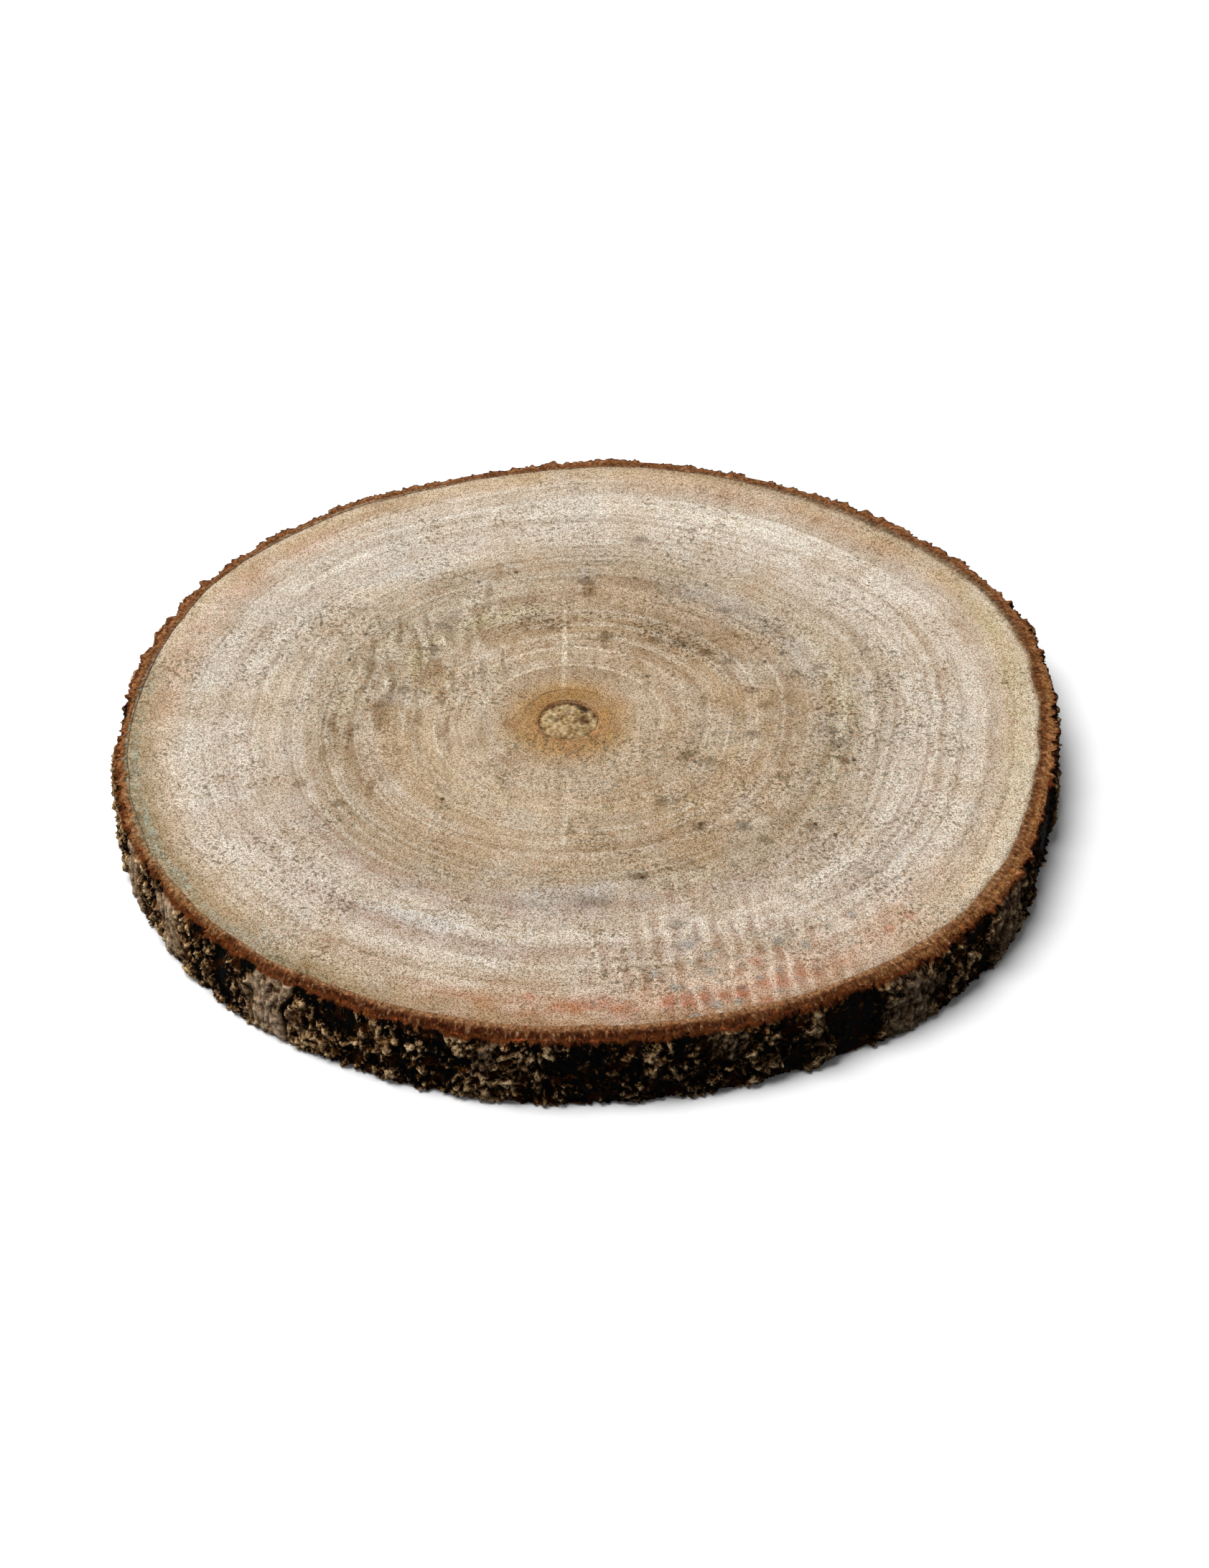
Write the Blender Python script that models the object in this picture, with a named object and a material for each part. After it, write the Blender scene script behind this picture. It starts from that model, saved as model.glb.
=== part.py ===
"""A slice sawn straight across a small tree trunk, with its bark left on.

The slice lies flat on its lower sawn face, +Z up, in metres, with the origin under the middle of
its box. It is one solid, because bark, wood and pith grew together. Its outline is a circle about
the pith, pulled out of round by a few broad lobes, and the side wall carries the bark's plates.
"""

import math

import bmesh
import bpy
from mathutils import Vector, noise

# The slice: its height between the saw cuts, and its mean radius about the pith
THICKNESS = 0.021
MEAN_RADIUS = 0.1340

# How the trunk grew out of round: (lobes, depth, angle of one lobe's crest in degrees).
# One lobe is the pith's own offset, two make an oval.
OUTLINE_LOBES = (
    (1, 0.0077, -16.0),
    (2, 0.0024, 82.0),
    (3, 0.0005, 45.0),
    (4, 0.0008, -40.0),
    (6, 0.0005, 21.0),
)

# Bark: the wall's facets, its swell between the cuts, and the plates and flakes on it
RIM_STEPS = 360
WALL_STEPS = 6
SWELL = 0.0008
PLATE_WIDTH = 0.010
PLATE_HEIGHT = 0.015
PLATE_RELIEF = 0.0016
FLAKE_SIZE = 0.0050
FLAKE_RELIEF = 0.0009
PLATE_OFFSET = Vector((3.7, 1.9, 5.3))
FLAKE_OFFSET = Vector((8.2, 4.4, 0.6))

# The soft pith, which the saw tore out a little on the upper face
PITH_LENGTH = 0.0175
PITH_WIDTH = 0.0160
PITH_DEPTH = 0.0008
PITH_STEPS = 40
CUTTER_OVERSHOOT = 0.002

# Finishes: linear colour and roughness
WOOD_FINISH = ("sawn_wood", (0.50, 0.38, 0.25, 1.0), 0.80)
BARK_FINISH = ("bark", (0.060, 0.038, 0.022, 1.0), 0.95)
PITH_FINISH = ("pith", (0.55, 0.48, 0.34, 1.0), 0.90)


def clear_scene():
    """Remove every object that the file opened with."""
    for item in list(bpy.data.objects):
        bpy.data.objects.remove(item, do_unlink=True)


def make_material(name, color, roughness):
    """Return a Principled material of one colour, with no metal in it."""
    material = bpy.data.materials.new(name)
    material.use_nodes = True
    shader = material.node_tree.nodes["Principled BSDF"]
    shader.inputs["Base Color"].default_value = color
    shader.inputs["Roughness"].default_value = roughness
    shader.inputs["Metallic"].default_value = 0.0
    material.diffuse_color = color
    return material


def add_object(name, mesh, finishes):
    """Turn a bmesh into a named object with its materials, and return the object."""
    data = bpy.data.meshes.new(name)
    mesh.to_mesh(data)
    mesh.free()
    for finish in finishes:
        data.materials.append(make_material(*finish))
    item = bpy.data.objects.new(name, data)
    bpy.context.collection.objects.link(item)
    return item


def outline_radius(angle):
    """Return the trunk's smooth radius about its pith, at an angle in radians."""
    radius = MEAN_RADIUS
    for lobes, depth, crest in OUTLINE_LOBES:
        radius += depth * math.cos(lobes * (angle - math.radians(crest)))
    return radius


def bark_relief(angle, height):
    """Return how far the bark stands out of the smooth outline at a place on the wall."""
    around = Vector((math.cos(angle), math.sin(angle), 0.0)) * MEAN_RADIUS
    upward = Vector((0.0, 0.0, height))
    plates = noise.noise(around / PLATE_WIDTH + upward / PLATE_HEIGHT + PLATE_OFFSET)
    flakes = noise.noise((around + upward) / FLAKE_SIZE + FLAKE_OFFSET)
    swell = math.sin(math.pi * height / THICKNESS)
    return PLATE_RELIEF * plates + FLAKE_RELIEF * flakes + SWELL * swell


def press_to_bark(vertex):
    """Move a vertex of the plain drum out to the bark's surface, at its own height."""
    angle = math.atan2(vertex.co.y, vertex.co.x)
    radius = outline_radius(angle) + bark_relief(angle, vertex.co.z)
    vertex.co.x = radius * math.cos(angle)
    vertex.co.y = radius * math.sin(angle)


def box_centre(mesh):
    """Return the middle of a mesh's box in plan, at height zero."""
    across = [vertex.co.x for vertex in mesh.verts]
    along = [vertex.co.y for vertex in mesh.verts]
    return Vector(((min(across) + max(across)) / 2.0, (min(along) + max(along)) / 2.0, 0.0))


def build_slice():
    """Draw the wall up ring by ring, press it to the bark and close it with two sawn faces.

    Returns the slice, centred over the origin, and the place of its pith.
    """
    mesh = bmesh.new()
    bmesh.ops.create_circle(mesh, cap_ends=False, radius=MEAN_RADIUS, segments=RIM_STEPS)
    lower_rim = list(mesh.edges)
    upper_rim = lower_rim
    for _ in range(WALL_STEPS):
        grown = bmesh.ops.extrude_edge_only(mesh, edges=upper_rim)["geom"]
        upper_rim = [item for item in grown if isinstance(item, bmesh.types.BMEdge)]
        ring = [item for item in grown if isinstance(item, bmesh.types.BMVert)]
        bmesh.ops.translate(mesh, verts=ring, vec=(0.0, 0.0, THICKNESS / WALL_STEPS))
    for face in mesh.faces:
        face.material_index = 1
    for vertex in mesh.verts:
        press_to_bark(vertex)
    for rim in (lower_rim, upper_rim):
        bmesh.ops.contextual_create(mesh, geom=rim, mat_nr=0)
    bmesh.ops.recalc_face_normals(mesh, faces=mesh.faces)
    centre = box_centre(mesh)
    bmesh.ops.translate(mesh, verts=mesh.verts, vec=-centre)
    return add_object("wood_slice", mesh, (WOOD_FINISH, BARK_FINISH)), -centre


def build_pith_cutter(pith_place):
    """Return the oval plug that cuts the pith's shallow hollow."""
    depth = PITH_DEPTH + CUTTER_OVERSHOOT
    mesh = bmesh.new()
    bmesh.ops.create_cone(
        mesh, cap_ends=True, segments=PITH_STEPS, radius1=0.5, radius2=0.5, depth=depth
    )
    bmesh.ops.scale(mesh, verts=mesh.verts, vec=(PITH_WIDTH, PITH_LENGTH, 1.0))
    cutter = add_object("pith_cutter", mesh, (PITH_FINISH,))
    cutter.location = pith_place + Vector((0.0, 0.0, THICKNESS - PITH_DEPTH + depth / 2.0))
    cutter.hide_render = True
    cutter.display_type = "WIRE"
    return cutter


def main():
    """Build the slice and hollow its pith."""
    clear_scene()
    wood_slice, pith_place = build_slice()
    hollow = wood_slice.modifiers.new("pith_hollow", "BOOLEAN")
    hollow.operation = "DIFFERENCE"
    hollow.solver = "EXACT"
    hollow.material_mode = "TRANSFER"
    hollow.object = build_pith_cutter(pith_place)


main()
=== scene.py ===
"""Looks of a slice sawn across a small tree trunk, bark on, lying on a pale studio floor.

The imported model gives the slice's box. Everything here is set out from that box and from how the
trunk grew: a smooth outline about the pith, the wood inside it, the pith's soft plug and the bark.
"""

import logging
import math
from dataclasses import dataclass, field
from enum import Enum
from typing import ClassVar

import bmesh
import bpy
from mathutils import Matrix, Vector, noise


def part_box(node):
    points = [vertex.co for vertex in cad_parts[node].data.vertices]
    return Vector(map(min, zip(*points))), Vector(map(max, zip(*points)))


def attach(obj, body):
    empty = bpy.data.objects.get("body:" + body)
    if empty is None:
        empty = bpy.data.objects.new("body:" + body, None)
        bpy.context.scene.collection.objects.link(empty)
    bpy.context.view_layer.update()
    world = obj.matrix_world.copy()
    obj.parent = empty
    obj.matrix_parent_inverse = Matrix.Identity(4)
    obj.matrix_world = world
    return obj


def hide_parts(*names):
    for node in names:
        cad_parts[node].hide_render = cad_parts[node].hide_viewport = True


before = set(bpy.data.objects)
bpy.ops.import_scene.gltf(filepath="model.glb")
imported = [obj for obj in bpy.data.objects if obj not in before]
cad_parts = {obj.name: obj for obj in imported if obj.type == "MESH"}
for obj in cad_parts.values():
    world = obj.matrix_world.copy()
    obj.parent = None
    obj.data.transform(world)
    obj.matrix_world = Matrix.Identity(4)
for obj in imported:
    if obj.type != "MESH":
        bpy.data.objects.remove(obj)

LOG = logging.getLogger("wood_slice")
NODE = "wood_slice"
BODY = "root"
CHART_NAME = "OFBake"
MM = 0.001
FULL_TURN = 2.0 * math.pi
SENSOR_WIDTH = 36.0
UP = Vector((0.0, 0.0, 1.0))

# Seeds the vector noise, which would take the clock otherwise and grow new bark on every run
NOISE_SEED = 11

Colour = tuple[float, float, float, float]
Socket = bpy.types.NodeSocket


def linear(code: str) -> Colour:
    """Turn an sRGB hex colour into the linear colour that a shader takes.

    Args:
        code: Six hex digits, red first.

    Returns:
        Linear red, green, blue and an alpha of one.
    """
    channels = [int(code[start:start + 2], 16) / 255.0 for start in (0, 2, 4)]
    red, green, blue = (
        value / 12.92 if value <= 0.04045 else ((value + 0.055) / 1.055) ** 2.4
        for value in channels
    )
    return red, green, blue, 1.0


def smooth_step(low: float, high: float, value: float) -> float:
    """Return how far a value has passed from low to high, eased, from 0 to 1."""
    share = min(1.0, max(0.0, (value - low) / (high - low)))
    return share * share * (3.0 - 2.0 * share)


def blend(start: float, end: float, share: float) -> float:
    """Return the value a share of the way from start to end."""
    return start + (end - start) * share


def around_vector(angle: float) -> Vector:
    """Return the level unit vector at an angle."""
    return Vector((math.cos(angle), math.sin(angle), 0.0))


def wrapped(angle: float) -> float:
    """Return an angle brought within half a turn of zero."""
    return math.remainder(angle, FULL_TURN)


def swollen(swellings: tuple[tuple[float, float, float], ...], angle: float) -> float:
    """Return the height of a set of swellings at an angle.

    Args:
        swellings: For each, its heading and spread in degrees, and its height.
        angle: The heading at which it is wanted, in radians.

    Returns:
        The sum of the swellings there.
    """
    total = 0.0
    for heading, spread, height in swellings:
        offset = math.degrees(wrapped(angle - math.radians(heading)))
        total += height * math.exp(-((offset / spread) ** 2))
    return total


# How the trunk grew, and the slice's place


@dataclass(frozen=True)
class Growth:
    """How the trunk grew about its pith: its outline, its bark and its pith, in metres.

    Each lobe is (count, depth, angle of one crest in degrees). One lobe is the pith's own offset
    and two make an oval. Each swelling is (heading and spread in degrees, height).
    """

    mean_radius: float = 134.6 * MM
    lobes: tuple[tuple[int, float, float], ...] = (
        (1, 7.7 * MM, -16.0),
        (2, 2.4 * MM, 82.0),
        (3, 0.5 * MM, 45.0),
        (4, 0.8 * MM, -40.0),
        (6, 0.5 * MM, 21.0),
    )
    swellings: tuple[tuple[float, float, float], ...] = (
        (24.0, 15.0, 2.6 * MM),
        (82.0, 20.0, 0.9 * MM),
        (118.0, 12.0, 0.5 * MM),
        (229.0, 12.0, 1.1 * MM),
        (-12.0, 18.0, -1.5 * MM),
        (80.0, 8.0, 0.8 * MM),
    )
    bark_thickness: float = 4.6 * MM
    bark_swellings: tuple[tuple[float, float, float], ...] = (
        (268.0, 32.0, 1.9 * MM),
        (205.0, 40.0, -1.6 * MM),
        (140.0, 26.0, -0.7 * MM),
        (45.0, 28.0, 1.0 * MM),
        (-35.0, 24.0, 1.2 * MM),
    )
    joint_wave: float = 0.8 * MM
    joint_wave_size: float = 12.0 * MM
    pith_width: float = 16.4 * MM
    pith_length: float = 18.2 * MM
    pith_lean: float = 1.7 * MM
    pith_leans_to: float = math.radians(-52.0)

    def bark_radius(self, angle: float) -> float:
        """Return the radius of the bark's smooth outer face."""
        waves = (
            depth * math.cos(count * (angle - math.radians(crest)))
            for count, depth, crest in self.lobes
        )
        return self.mean_radius + sum(waves)

    def grown_radius(self, angle: float) -> float:
        """Return the radius of the bark's outer face with its local swellings."""
        return self.bark_radius(angle) + swollen(self.swellings, angle)

    def bark_depth(self, angle: float) -> float:
        """Return how thick the bark is."""
        return self.bark_thickness + swollen(self.bark_swellings, angle)

    def wood_radius(self, angle: float) -> float:
        """Return the radius at which wood meets bark, along a faintly wavy joint."""
        wave = noise.noise(around_vector(angle) * (self.mean_radius / self.joint_wave_size))
        return self.grown_radius(angle) - self.bark_depth(angle) + self.joint_wave * wave

    def pith_radius(self, angle: float) -> float:
        """Return the radius of the oval pith, which leans to one side of its own axis."""
        oval = math.hypot(
            self.pith_width / 2.0 * math.cos(angle), self.pith_length / 2.0 * math.sin(angle)
        )
        return oval + self.pith_lean * math.cos(angle - self.pith_leans_to)

    def plan_centre(self, steps: int = 720) -> Vector:
        """Return the middle of the outline's box, seen from the pith."""
        points = [
            around_vector(FULL_TURN * step / steps) * self.bark_radius(FULL_TURN * step / steps)
            for step in range(steps)
        ]
        across = [point.x for point in points]
        along = [point.y for point in points]
        return Vector(((min(across) + max(across)) / 2.0, (min(along) + max(along)) / 2.0, 0.0))


@dataclass(frozen=True)
class Slice:
    """The slice's place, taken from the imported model's box.

    Attributes:
        growth: How the trunk grew.
        thickness: Height between the two saw cuts.
        pith_foot: The pith's place on the lower face.
        pith_top: The pith's place on the upper face.
    """

    growth: Growth
    thickness: float
    pith_foot: Vector
    pith_top: Vector

    @classmethod
    def in_box(cls, low: Vector, high: Vector) -> "Slice":
        """Place the trunk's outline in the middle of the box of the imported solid.

        Args:
            low: The box's lowest corner.
            high: The box's highest corner.

        Returns:
            The placed slice.
        """
        growth = Growth()
        centre = (low + high) / 2.0 - growth.plan_centre()
        foot = Vector((centre.x, centre.y, low.z))
        top = Vector((centre.x, centre.y, high.z))
        return cls(growth, high.z - low.z, foot, top)


# Material graphs, and the layers that a finish is built up from


@dataclass
class Graph:
    """A material's node tree, built one node at a time."""

    tree: bpy.types.NodeTree

    def add(
        self,
        kind: str,
        inputs: dict | None = None,
        out: int | str = 0,
        stops: tuple = (),
        **settings: object,
    ) -> Socket:
        """Add one node, set it up and wire it.

        Args:
            kind: The node's class name after "ShaderNode".
            inputs: Input name or number to the socket that feeds it, or to its value.
            out: Name or number of the output to hand back.
            stops: For a colour ramp, pairs of position and sRGB hex colour.
            settings: The node's own properties.

        Returns:
            The chosen output.
        """
        node = self.tree.nodes.new("ShaderNode" + kind)
        for name, value in settings.items():
            setattr(node, name, value)
        for index, (position, code) in enumerate(stops):
            elements = node.color_ramp.elements
            element = elements[index] if index < 2 else elements.new(position)
            element.position = position
            element.color = linear(code)
        for key, value in (inputs or {}).items():
            if isinstance(value, bpy.types.NodeSocket):
                self.tree.links.new(value, node.inputs[key])
            else:
                node.inputs[key].default_value = value
        return node.outputs[out]


@dataclass(frozen=True)
class SurfaceFields:
    """The sockets that every layer of a finish is laid out on.

    Attributes:
        place: Object coordinates seen from the pith.
        heading: Level unit vector away from the pith.
        growth: Share of the way out through the piece, wavering as real rings do.
        waver_size: Size of one waver, in metres.
    """

    place: Socket
    heading: Socket
    growth: Socket
    waver_size: ClassVar[float] = 30 * MM

    @classmethod
    def on(cls, graph: Graph, pith: Vector, attribute: str, waver: float) -> "SurfaceFields":
        """Add the fields to a graph.

        Args:
            graph: The material's graph.
            pith: The pith's place.
            attribute: Name of the vertex attribute that holds the share.
            waver: How far the share wanders.

        Returns:
            The fields.
        """
        source = graph.add("TexCoord", out="Object")
        place = graph.add("VectorMath", {0: source, 1: tuple(pith)}, operation="SUBTRACT")
        level = graph.add("VectorMath", {0: place, 1: (1.0, 1.0, 0.0)}, operation="MULTIPLY")
        heading = graph.add("VectorMath", {0: level}, operation="NORMALIZE")
        share = graph.add("Attribute", out="Fac", attribute_name=attribute)
        wander = graph.add(
            "TexNoise", {"Vector": place, "Scale": 1.0 / cls.waver_size, "Detail": 2.0}
        )
        shift = graph.add("MapRange", {"Value": wander, "To Min": -waver, "To Max": waver})
        growth = graph.add("Math", {0: share, 1: shift}, operation="ADD")
        return cls(place, heading, growth)


class Blend(Enum):
    """How a layer's tint meets the colour beneath it."""

    COVER = "MIX"
    SHADE = "MULTIPLY"


@dataclass(frozen=True)
class Layer:
    """A tint laid over a finish wherever its cover reaches.

    Attributes:
        tint: Its sRGB colour.
        strength: Its fullest cover, from 0 to 1.
    """

    tint: str
    strength: float
    blend: ClassVar[Blend] = Blend.COVER

    def cover(self, graph: Graph, fields: SurfaceFields) -> Socket:
        """Add the nodes of the layer's cover.

        Args:
            graph: The material's graph.
            fields: What the layer is laid out on.

        Returns:
            The cover, from 0 to 1.
        """
        raise NotImplementedError

    def grains(
        self, graph: Graph, fields: SurfaceFields, size: float, rough: float = 0.5
    ) -> Socket:
        """Add a noise of one grain size, which no other layer's noise lines up with.

        Args:
            graph: The material's graph.
            fields: What the layer is laid out on.
            size: Width of one grain, in metres.
            rough: How much finer detail a grain carries, from 0 to 1.

        Returns:
            The noise, about 0.5.
        """
        own = 31.7 * self.strength + 7.3 * size / MM
        return graph.add(
            "TexNoise",
            {"Vector": fields.place, "W": own, "Scale": 1.0 / size, "Detail": 1.0, "Roughness": rough},
            noise_dimensions="4D",
        )

    def lay(self, graph: Graph, fields: SurfaceFields, under: Socket) -> Socket:
        """Lay the tint over a colour.

        Args:
            graph: The material's graph.
            fields: What the layer is laid out on.
            under: The colour that it is laid over.

        Returns:
            The new colour.
        """
        factor = graph.add(
            "Math", {0: self.cover(graph, fields), 1: self.strength}, operation="MULTIPLY"
        )
        return graph.add(
            "Mix",
            {0: factor, 6: under, 7: linear(self.tint)},
            out=2,
            data_type="RGBA",
            blend_type=self.blend.value,
            clamp_factor=False,
        )


@dataclass(frozen=True)
class Band(Layer):
    """A tint that follows the growth rings, strongest at one heading.

    Attributes:
        at: Growth share of its middle.
        half: Half its width, as a growth share.
        crest: Heading of its strongest place, in degrees.
        spread: How far it runs to each side of the crest, in degrees.
        breakup: Size of the gaps that break it up, in metres.
        ragged: How much the gaps take away, from 0 to 1.
        gap, whole: Noise values at which a gap is deepest and at which it has closed.
    """

    at: float
    half: float
    crest: float = 0.0
    spread: float = 180.0
    breakup: float = 9.0 * MM
    ragged: float = 0.5
    gap: ClassVar[float] = 0.38
    whole: ClassVar[float] = 0.58

    def cover(self, graph: Graph, fields: SurfaceFields) -> Socket:
        """Cover the band about its growth share, fading away from its crest."""
        offset = graph.add("Math", {0: fields.growth, 1: self.at}, operation="SUBTRACT")
        distance = graph.add("Math", {0: offset}, operation="ABSOLUTE")
        along = graph.add(
            "MapRange",
            {"Value": distance, "From Max": self.half, "To Min": 1.0, "To Max": 0.0},
            interpolation_type="SMOOTHSTEP",
        )
        crest = tuple(around_vector(math.radians(self.crest)))
        facing = graph.add(
            "VectorMath", {0: fields.heading, 1: crest}, out="Value", operation="DOT_PRODUCT"
        )
        turned = graph.add(
            "MapRange",
            {"Value": facing, "From Min": math.cos(math.radians(self.spread)), "From Max": 1.0},
            interpolation_type="SMOOTHSTEP",
        )
        gaps = graph.add(
            "TexNoise", {"Vector": fields.place, "Scale": 1.0 / self.breakup, "Detail": 2.0}
        )
        worn = graph.add(
            "MapRange",
            {
                "Value": gaps,
                "From Min": self.gap,
                "From Max": self.whole,
                "To Min": 1.0 - self.ragged,
            },
        )
        reach = graph.add("Math", {0: along, 1: turned}, operation="MULTIPLY")
        return graph.add("Math", {0: reach, 1: worn}, operation="MULTIPLY")


@dataclass(frozen=True)
class Streaks(Layer):
    """Thin streaks that follow the growth rings over the outer part of the growth.

    Attributes:
        thickness: How thick one streak is, as a share of the growth.
        run: How long a streak runs round the rings, in metres.
        onset: Noise value at which a streak starts to show.
        full: Noise value at which it shows fully; below the onset for the darker half.
        since: Growth share from which the streaks show.
        seed: Shift that makes each layer its own.
        fade: How far to each side of that growth share they fade in.
    """

    thickness: float
    run: float
    onset: float
    full: float
    since: float
    seed: float
    fade: ClassVar[float] = 0.08

    def cover(self, graph: Graph, fields: SurfaceFields) -> Socket:
        """Cover a noise drawn out along the rings, from one growth share outwards."""
        along = graph.add(
            "VectorMath", {0: fields.place, "Scale": 1.0 / self.run}, operation="SCALE"
        )
        depth = graph.add(
            "Math",
            {0: fields.growth, 1: 1.0 / self.thickness, 2: self.seed},
            operation="MULTIPLY_ADD",
        )
        lift = graph.add("CombineXYZ", {"Z": depth})
        vector = graph.add("VectorMath", {0: along, 1: lift}, operation="ADD")
        value = graph.add("TexNoise", {"Vector": vector, "Scale": 1.0, "Detail": 1.0})
        shown = graph.add(
            "MapRange", {"Value": value, "From Min": self.onset, "From Max": self.full}
        )
        begun = graph.add(
            "MapRange",
            {
                "Value": fields.growth,
                "From Min": self.since - self.fade,
                "From Max": self.since + self.fade,
            },
            interpolation_type="SMOOTHSTEP",
        )
        return graph.add("Math", {0: shown, 1: begun}, operation="MULTIPLY")


@dataclass(frozen=True)
class Patch(Layer):
    """A tint on an oval patch.

    Attributes:
        across, along: The patch's middle, seen from the pith, in metres.
        width, length: Its full size, in metres.
        turn: How far the oval is turned, in degrees.
        breakup: Size of the lumps in its edge, in metres.
        ragged: How far the lumps eat into the patch, as a share of its size.
        core: Share of the patch, before the lumps, that is covered fully.
    """

    across: float
    along: float
    width: float
    length: float
    turn: float = 0.0
    breakup: float = 6.0 * MM
    ragged: float = 0.8
    core: ClassVar[float] = 0.2

    def cover(self, graph: Graph, fields: SurfaceFields) -> Socket:
        """Cover the oval, with lumps eaten out of its edge."""
        local = graph.add(
            "Mapping",
            {
                "Vector": fields.place,
                "Location": (self.across, self.along, 0.0),
                "Rotation": (0.0, 0.0, math.radians(self.turn)),
                "Scale": (self.width / 2.0, self.length / 2.0, 1.0),
            },
            vector_type="TEXTURE",
        )
        distance = graph.add("VectorMath", {0: local}, out="Value", operation="LENGTH")
        lumps = graph.add(
            "TexNoise", {"Vector": fields.place, "Scale": 1.0 / self.breakup, "Detail": 3.0}
        )
        eaten = graph.add(
            "Math", {0: lumps, 1: self.ragged, 2: distance}, operation="MULTIPLY_ADD"
        )
        return graph.add(
            "MapRange",
            {
                "Value": eaten,
                "From Min": self.core + self.ragged / 2.0,
                "From Max": 1.0 + self.ragged / 2.0,
                "To Min": 1.0,
                "To Max": 0.0,
            },
            interpolation_type="SMOOTHSTEP",
        )


@dataclass(frozen=True)
class Specked(Layer):
    """Makes the layer that it is put together with show only on fine dark specks.

    Attributes:
        size: Width of one speck, in metres.
        onset: Noise value at which a speck starts to show.
        full: Noise value at which it shows fully; below the onset for the darker half.
    """

    size: float = 0.9 * MM
    onset: float = 0.46
    full: float = 0.37

    def cover(self, graph: Graph, fields: SurfaceFields) -> Socket:
        """Cover the specks, inside the other layer's own cover."""
        value = self.grains(graph, fields, self.size)
        shown = graph.add(
            "MapRange", {"Value": value, "From Min": self.onset, "From Max": self.full}
        )
        inside = super().cover(graph, fields)
        return graph.add("Math", {0: shown, 1: inside}, operation="MULTIPLY")


@dataclass(frozen=True)
class Speckles(Specked, Band):
    """Fine dark specks along a band of the growth rings."""


@dataclass(frozen=True)
class SpeckledPatch(Specked, Patch):
    """Fine dark specks crowded on an oval patch."""


@dataclass(frozen=True)
class Fibres(Layer):
    """Short strokes that run straight out from the pith, as torn fibres do.

    Attributes:
        ring: Radius of the ring that they lie on, in metres.
        width: Width of one stroke along that ring, in metres.
        runs: How many strokes follow one another across the piece.
        onset: Noise value at which a stroke starts to show.
        full: Noise value at which it shows fully; below the onset for the darker half.
    """

    ring: float
    width: float
    runs: float
    onset: float
    full: float

    def cover(self, graph: Graph, fields: SurfaceFields) -> Socket:
        """Cover a noise drawn out away from the pith."""
        around = graph.add(
            "VectorMath", {0: fields.heading, "Scale": self.ring / self.width}, operation="SCALE"
        )
        depth = graph.add("Math", {0: fields.growth, 1: self.runs}, operation="MULTIPLY")
        lift = graph.add("CombineXYZ", {"Z": depth})
        vector = graph.add("VectorMath", {0: around, 1: lift}, operation="ADD")
        value = graph.add("TexNoise", {"Vector": vector, "Scale": 1.0, "Detail": 2.0})
        return graph.add(
            "MapRange", {"Value": value, "From Min": self.onset, "From Max": self.full}
        )


@dataclass(frozen=True)
class Blots(Layer):
    """Blots of one size at chosen places.

    Attributes:
        width, length: One blot's full size, in metres.
        places: Where they are, across and along, in millimetres from the pith.
        ragged: How far lumps eat into a blot, as a share of its size.
        breakup: Size of the lumps, in metres.
        core: Share of a blot, before the lumps, that is covered fully.
    """

    width: float
    length: float
    places: tuple[tuple[float, float], ...]
    ragged: float = 1.0
    breakup: float = 3.0 * MM
    core: ClassVar[float] = 0.4

    def cover(self, graph: Graph, fields: SurfaceFields) -> Socket:
        """Cover what is near to any of the places, with lumps eaten out."""
        lumps = graph.add(
            "TexNoise", {"Vector": fields.place, "Scale": 1.0 / self.breakup, "Detail": 2.0}
        )
        scale = (2.0 / self.width, 2.0 / self.length, 0.0)
        nearest = None
        for across, along in self.places:
            offset = graph.add(
                "VectorMath",
                {0: fields.place, 1: (across * MM, along * MM, 0.0)},
                operation="SUBTRACT",
            )
            local = graph.add("VectorMath", {0: offset, 1: scale}, operation="MULTIPLY")
            distance = graph.add("VectorMath", {0: local}, out="Value", operation="LENGTH")
            if nearest is None:
                nearest = distance
            else:
                nearest = graph.add("Math", {0: nearest, 1: distance}, operation="MINIMUM")
        eaten = graph.add(
            "Math", {0: lumps, 1: self.ragged, 2: nearest}, operation="MULTIPLY_ADD"
        )
        return graph.add(
            "MapRange",
            {
                "Value": eaten,
                "From Min": self.core + self.ragged / 2.0,
                "From Max": 1.0 + self.ragged / 2.0,
                "To Min": 1.0,
                "To Max": 0.0,
            },
            interpolation_type="SMOOTHSTEP",
        )


@dataclass(frozen=True)
class SawMarks(Patch):
    """Blocks left by a slowing blade, inside an oval patch.

    Attributes:
        pitch: Width of one block across the blade's path, in metres.
        run: Length of one block along the path, in metres.
        onset: Noise value at which a block starts to show.
        full: Noise value at which it shows fully; below the onset for the darker half.
    """

    pitch: float = 3.5 * MM
    run: float = 16.0 * MM
    onset: float = 0.5
    full: float = 0.65

    def cover(self, graph: Graph, fields: SurfaceFields) -> Socket:
        """Cover the blocks, inside the patch."""
        blocks = graph.add(
            "Mapping",
            {"Vector": fields.place, "Scale": (1.0 / self.pitch, 1.0 / self.run, 0.0)},
        )
        value = graph.add("TexNoise", {"Vector": blocks, "Scale": 1.0, "Detail": 1.0})
        shown = graph.add(
            "MapRange",
            {"Value": value, "From Min": self.onset, "From Max": self.full},
            interpolation_type="SMOOTHSTEP",
        )
        inside = super().cover(graph, fields)
        return graph.add("Math", {0: shown, 1: inside}, operation="MULTIPLY")


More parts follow.
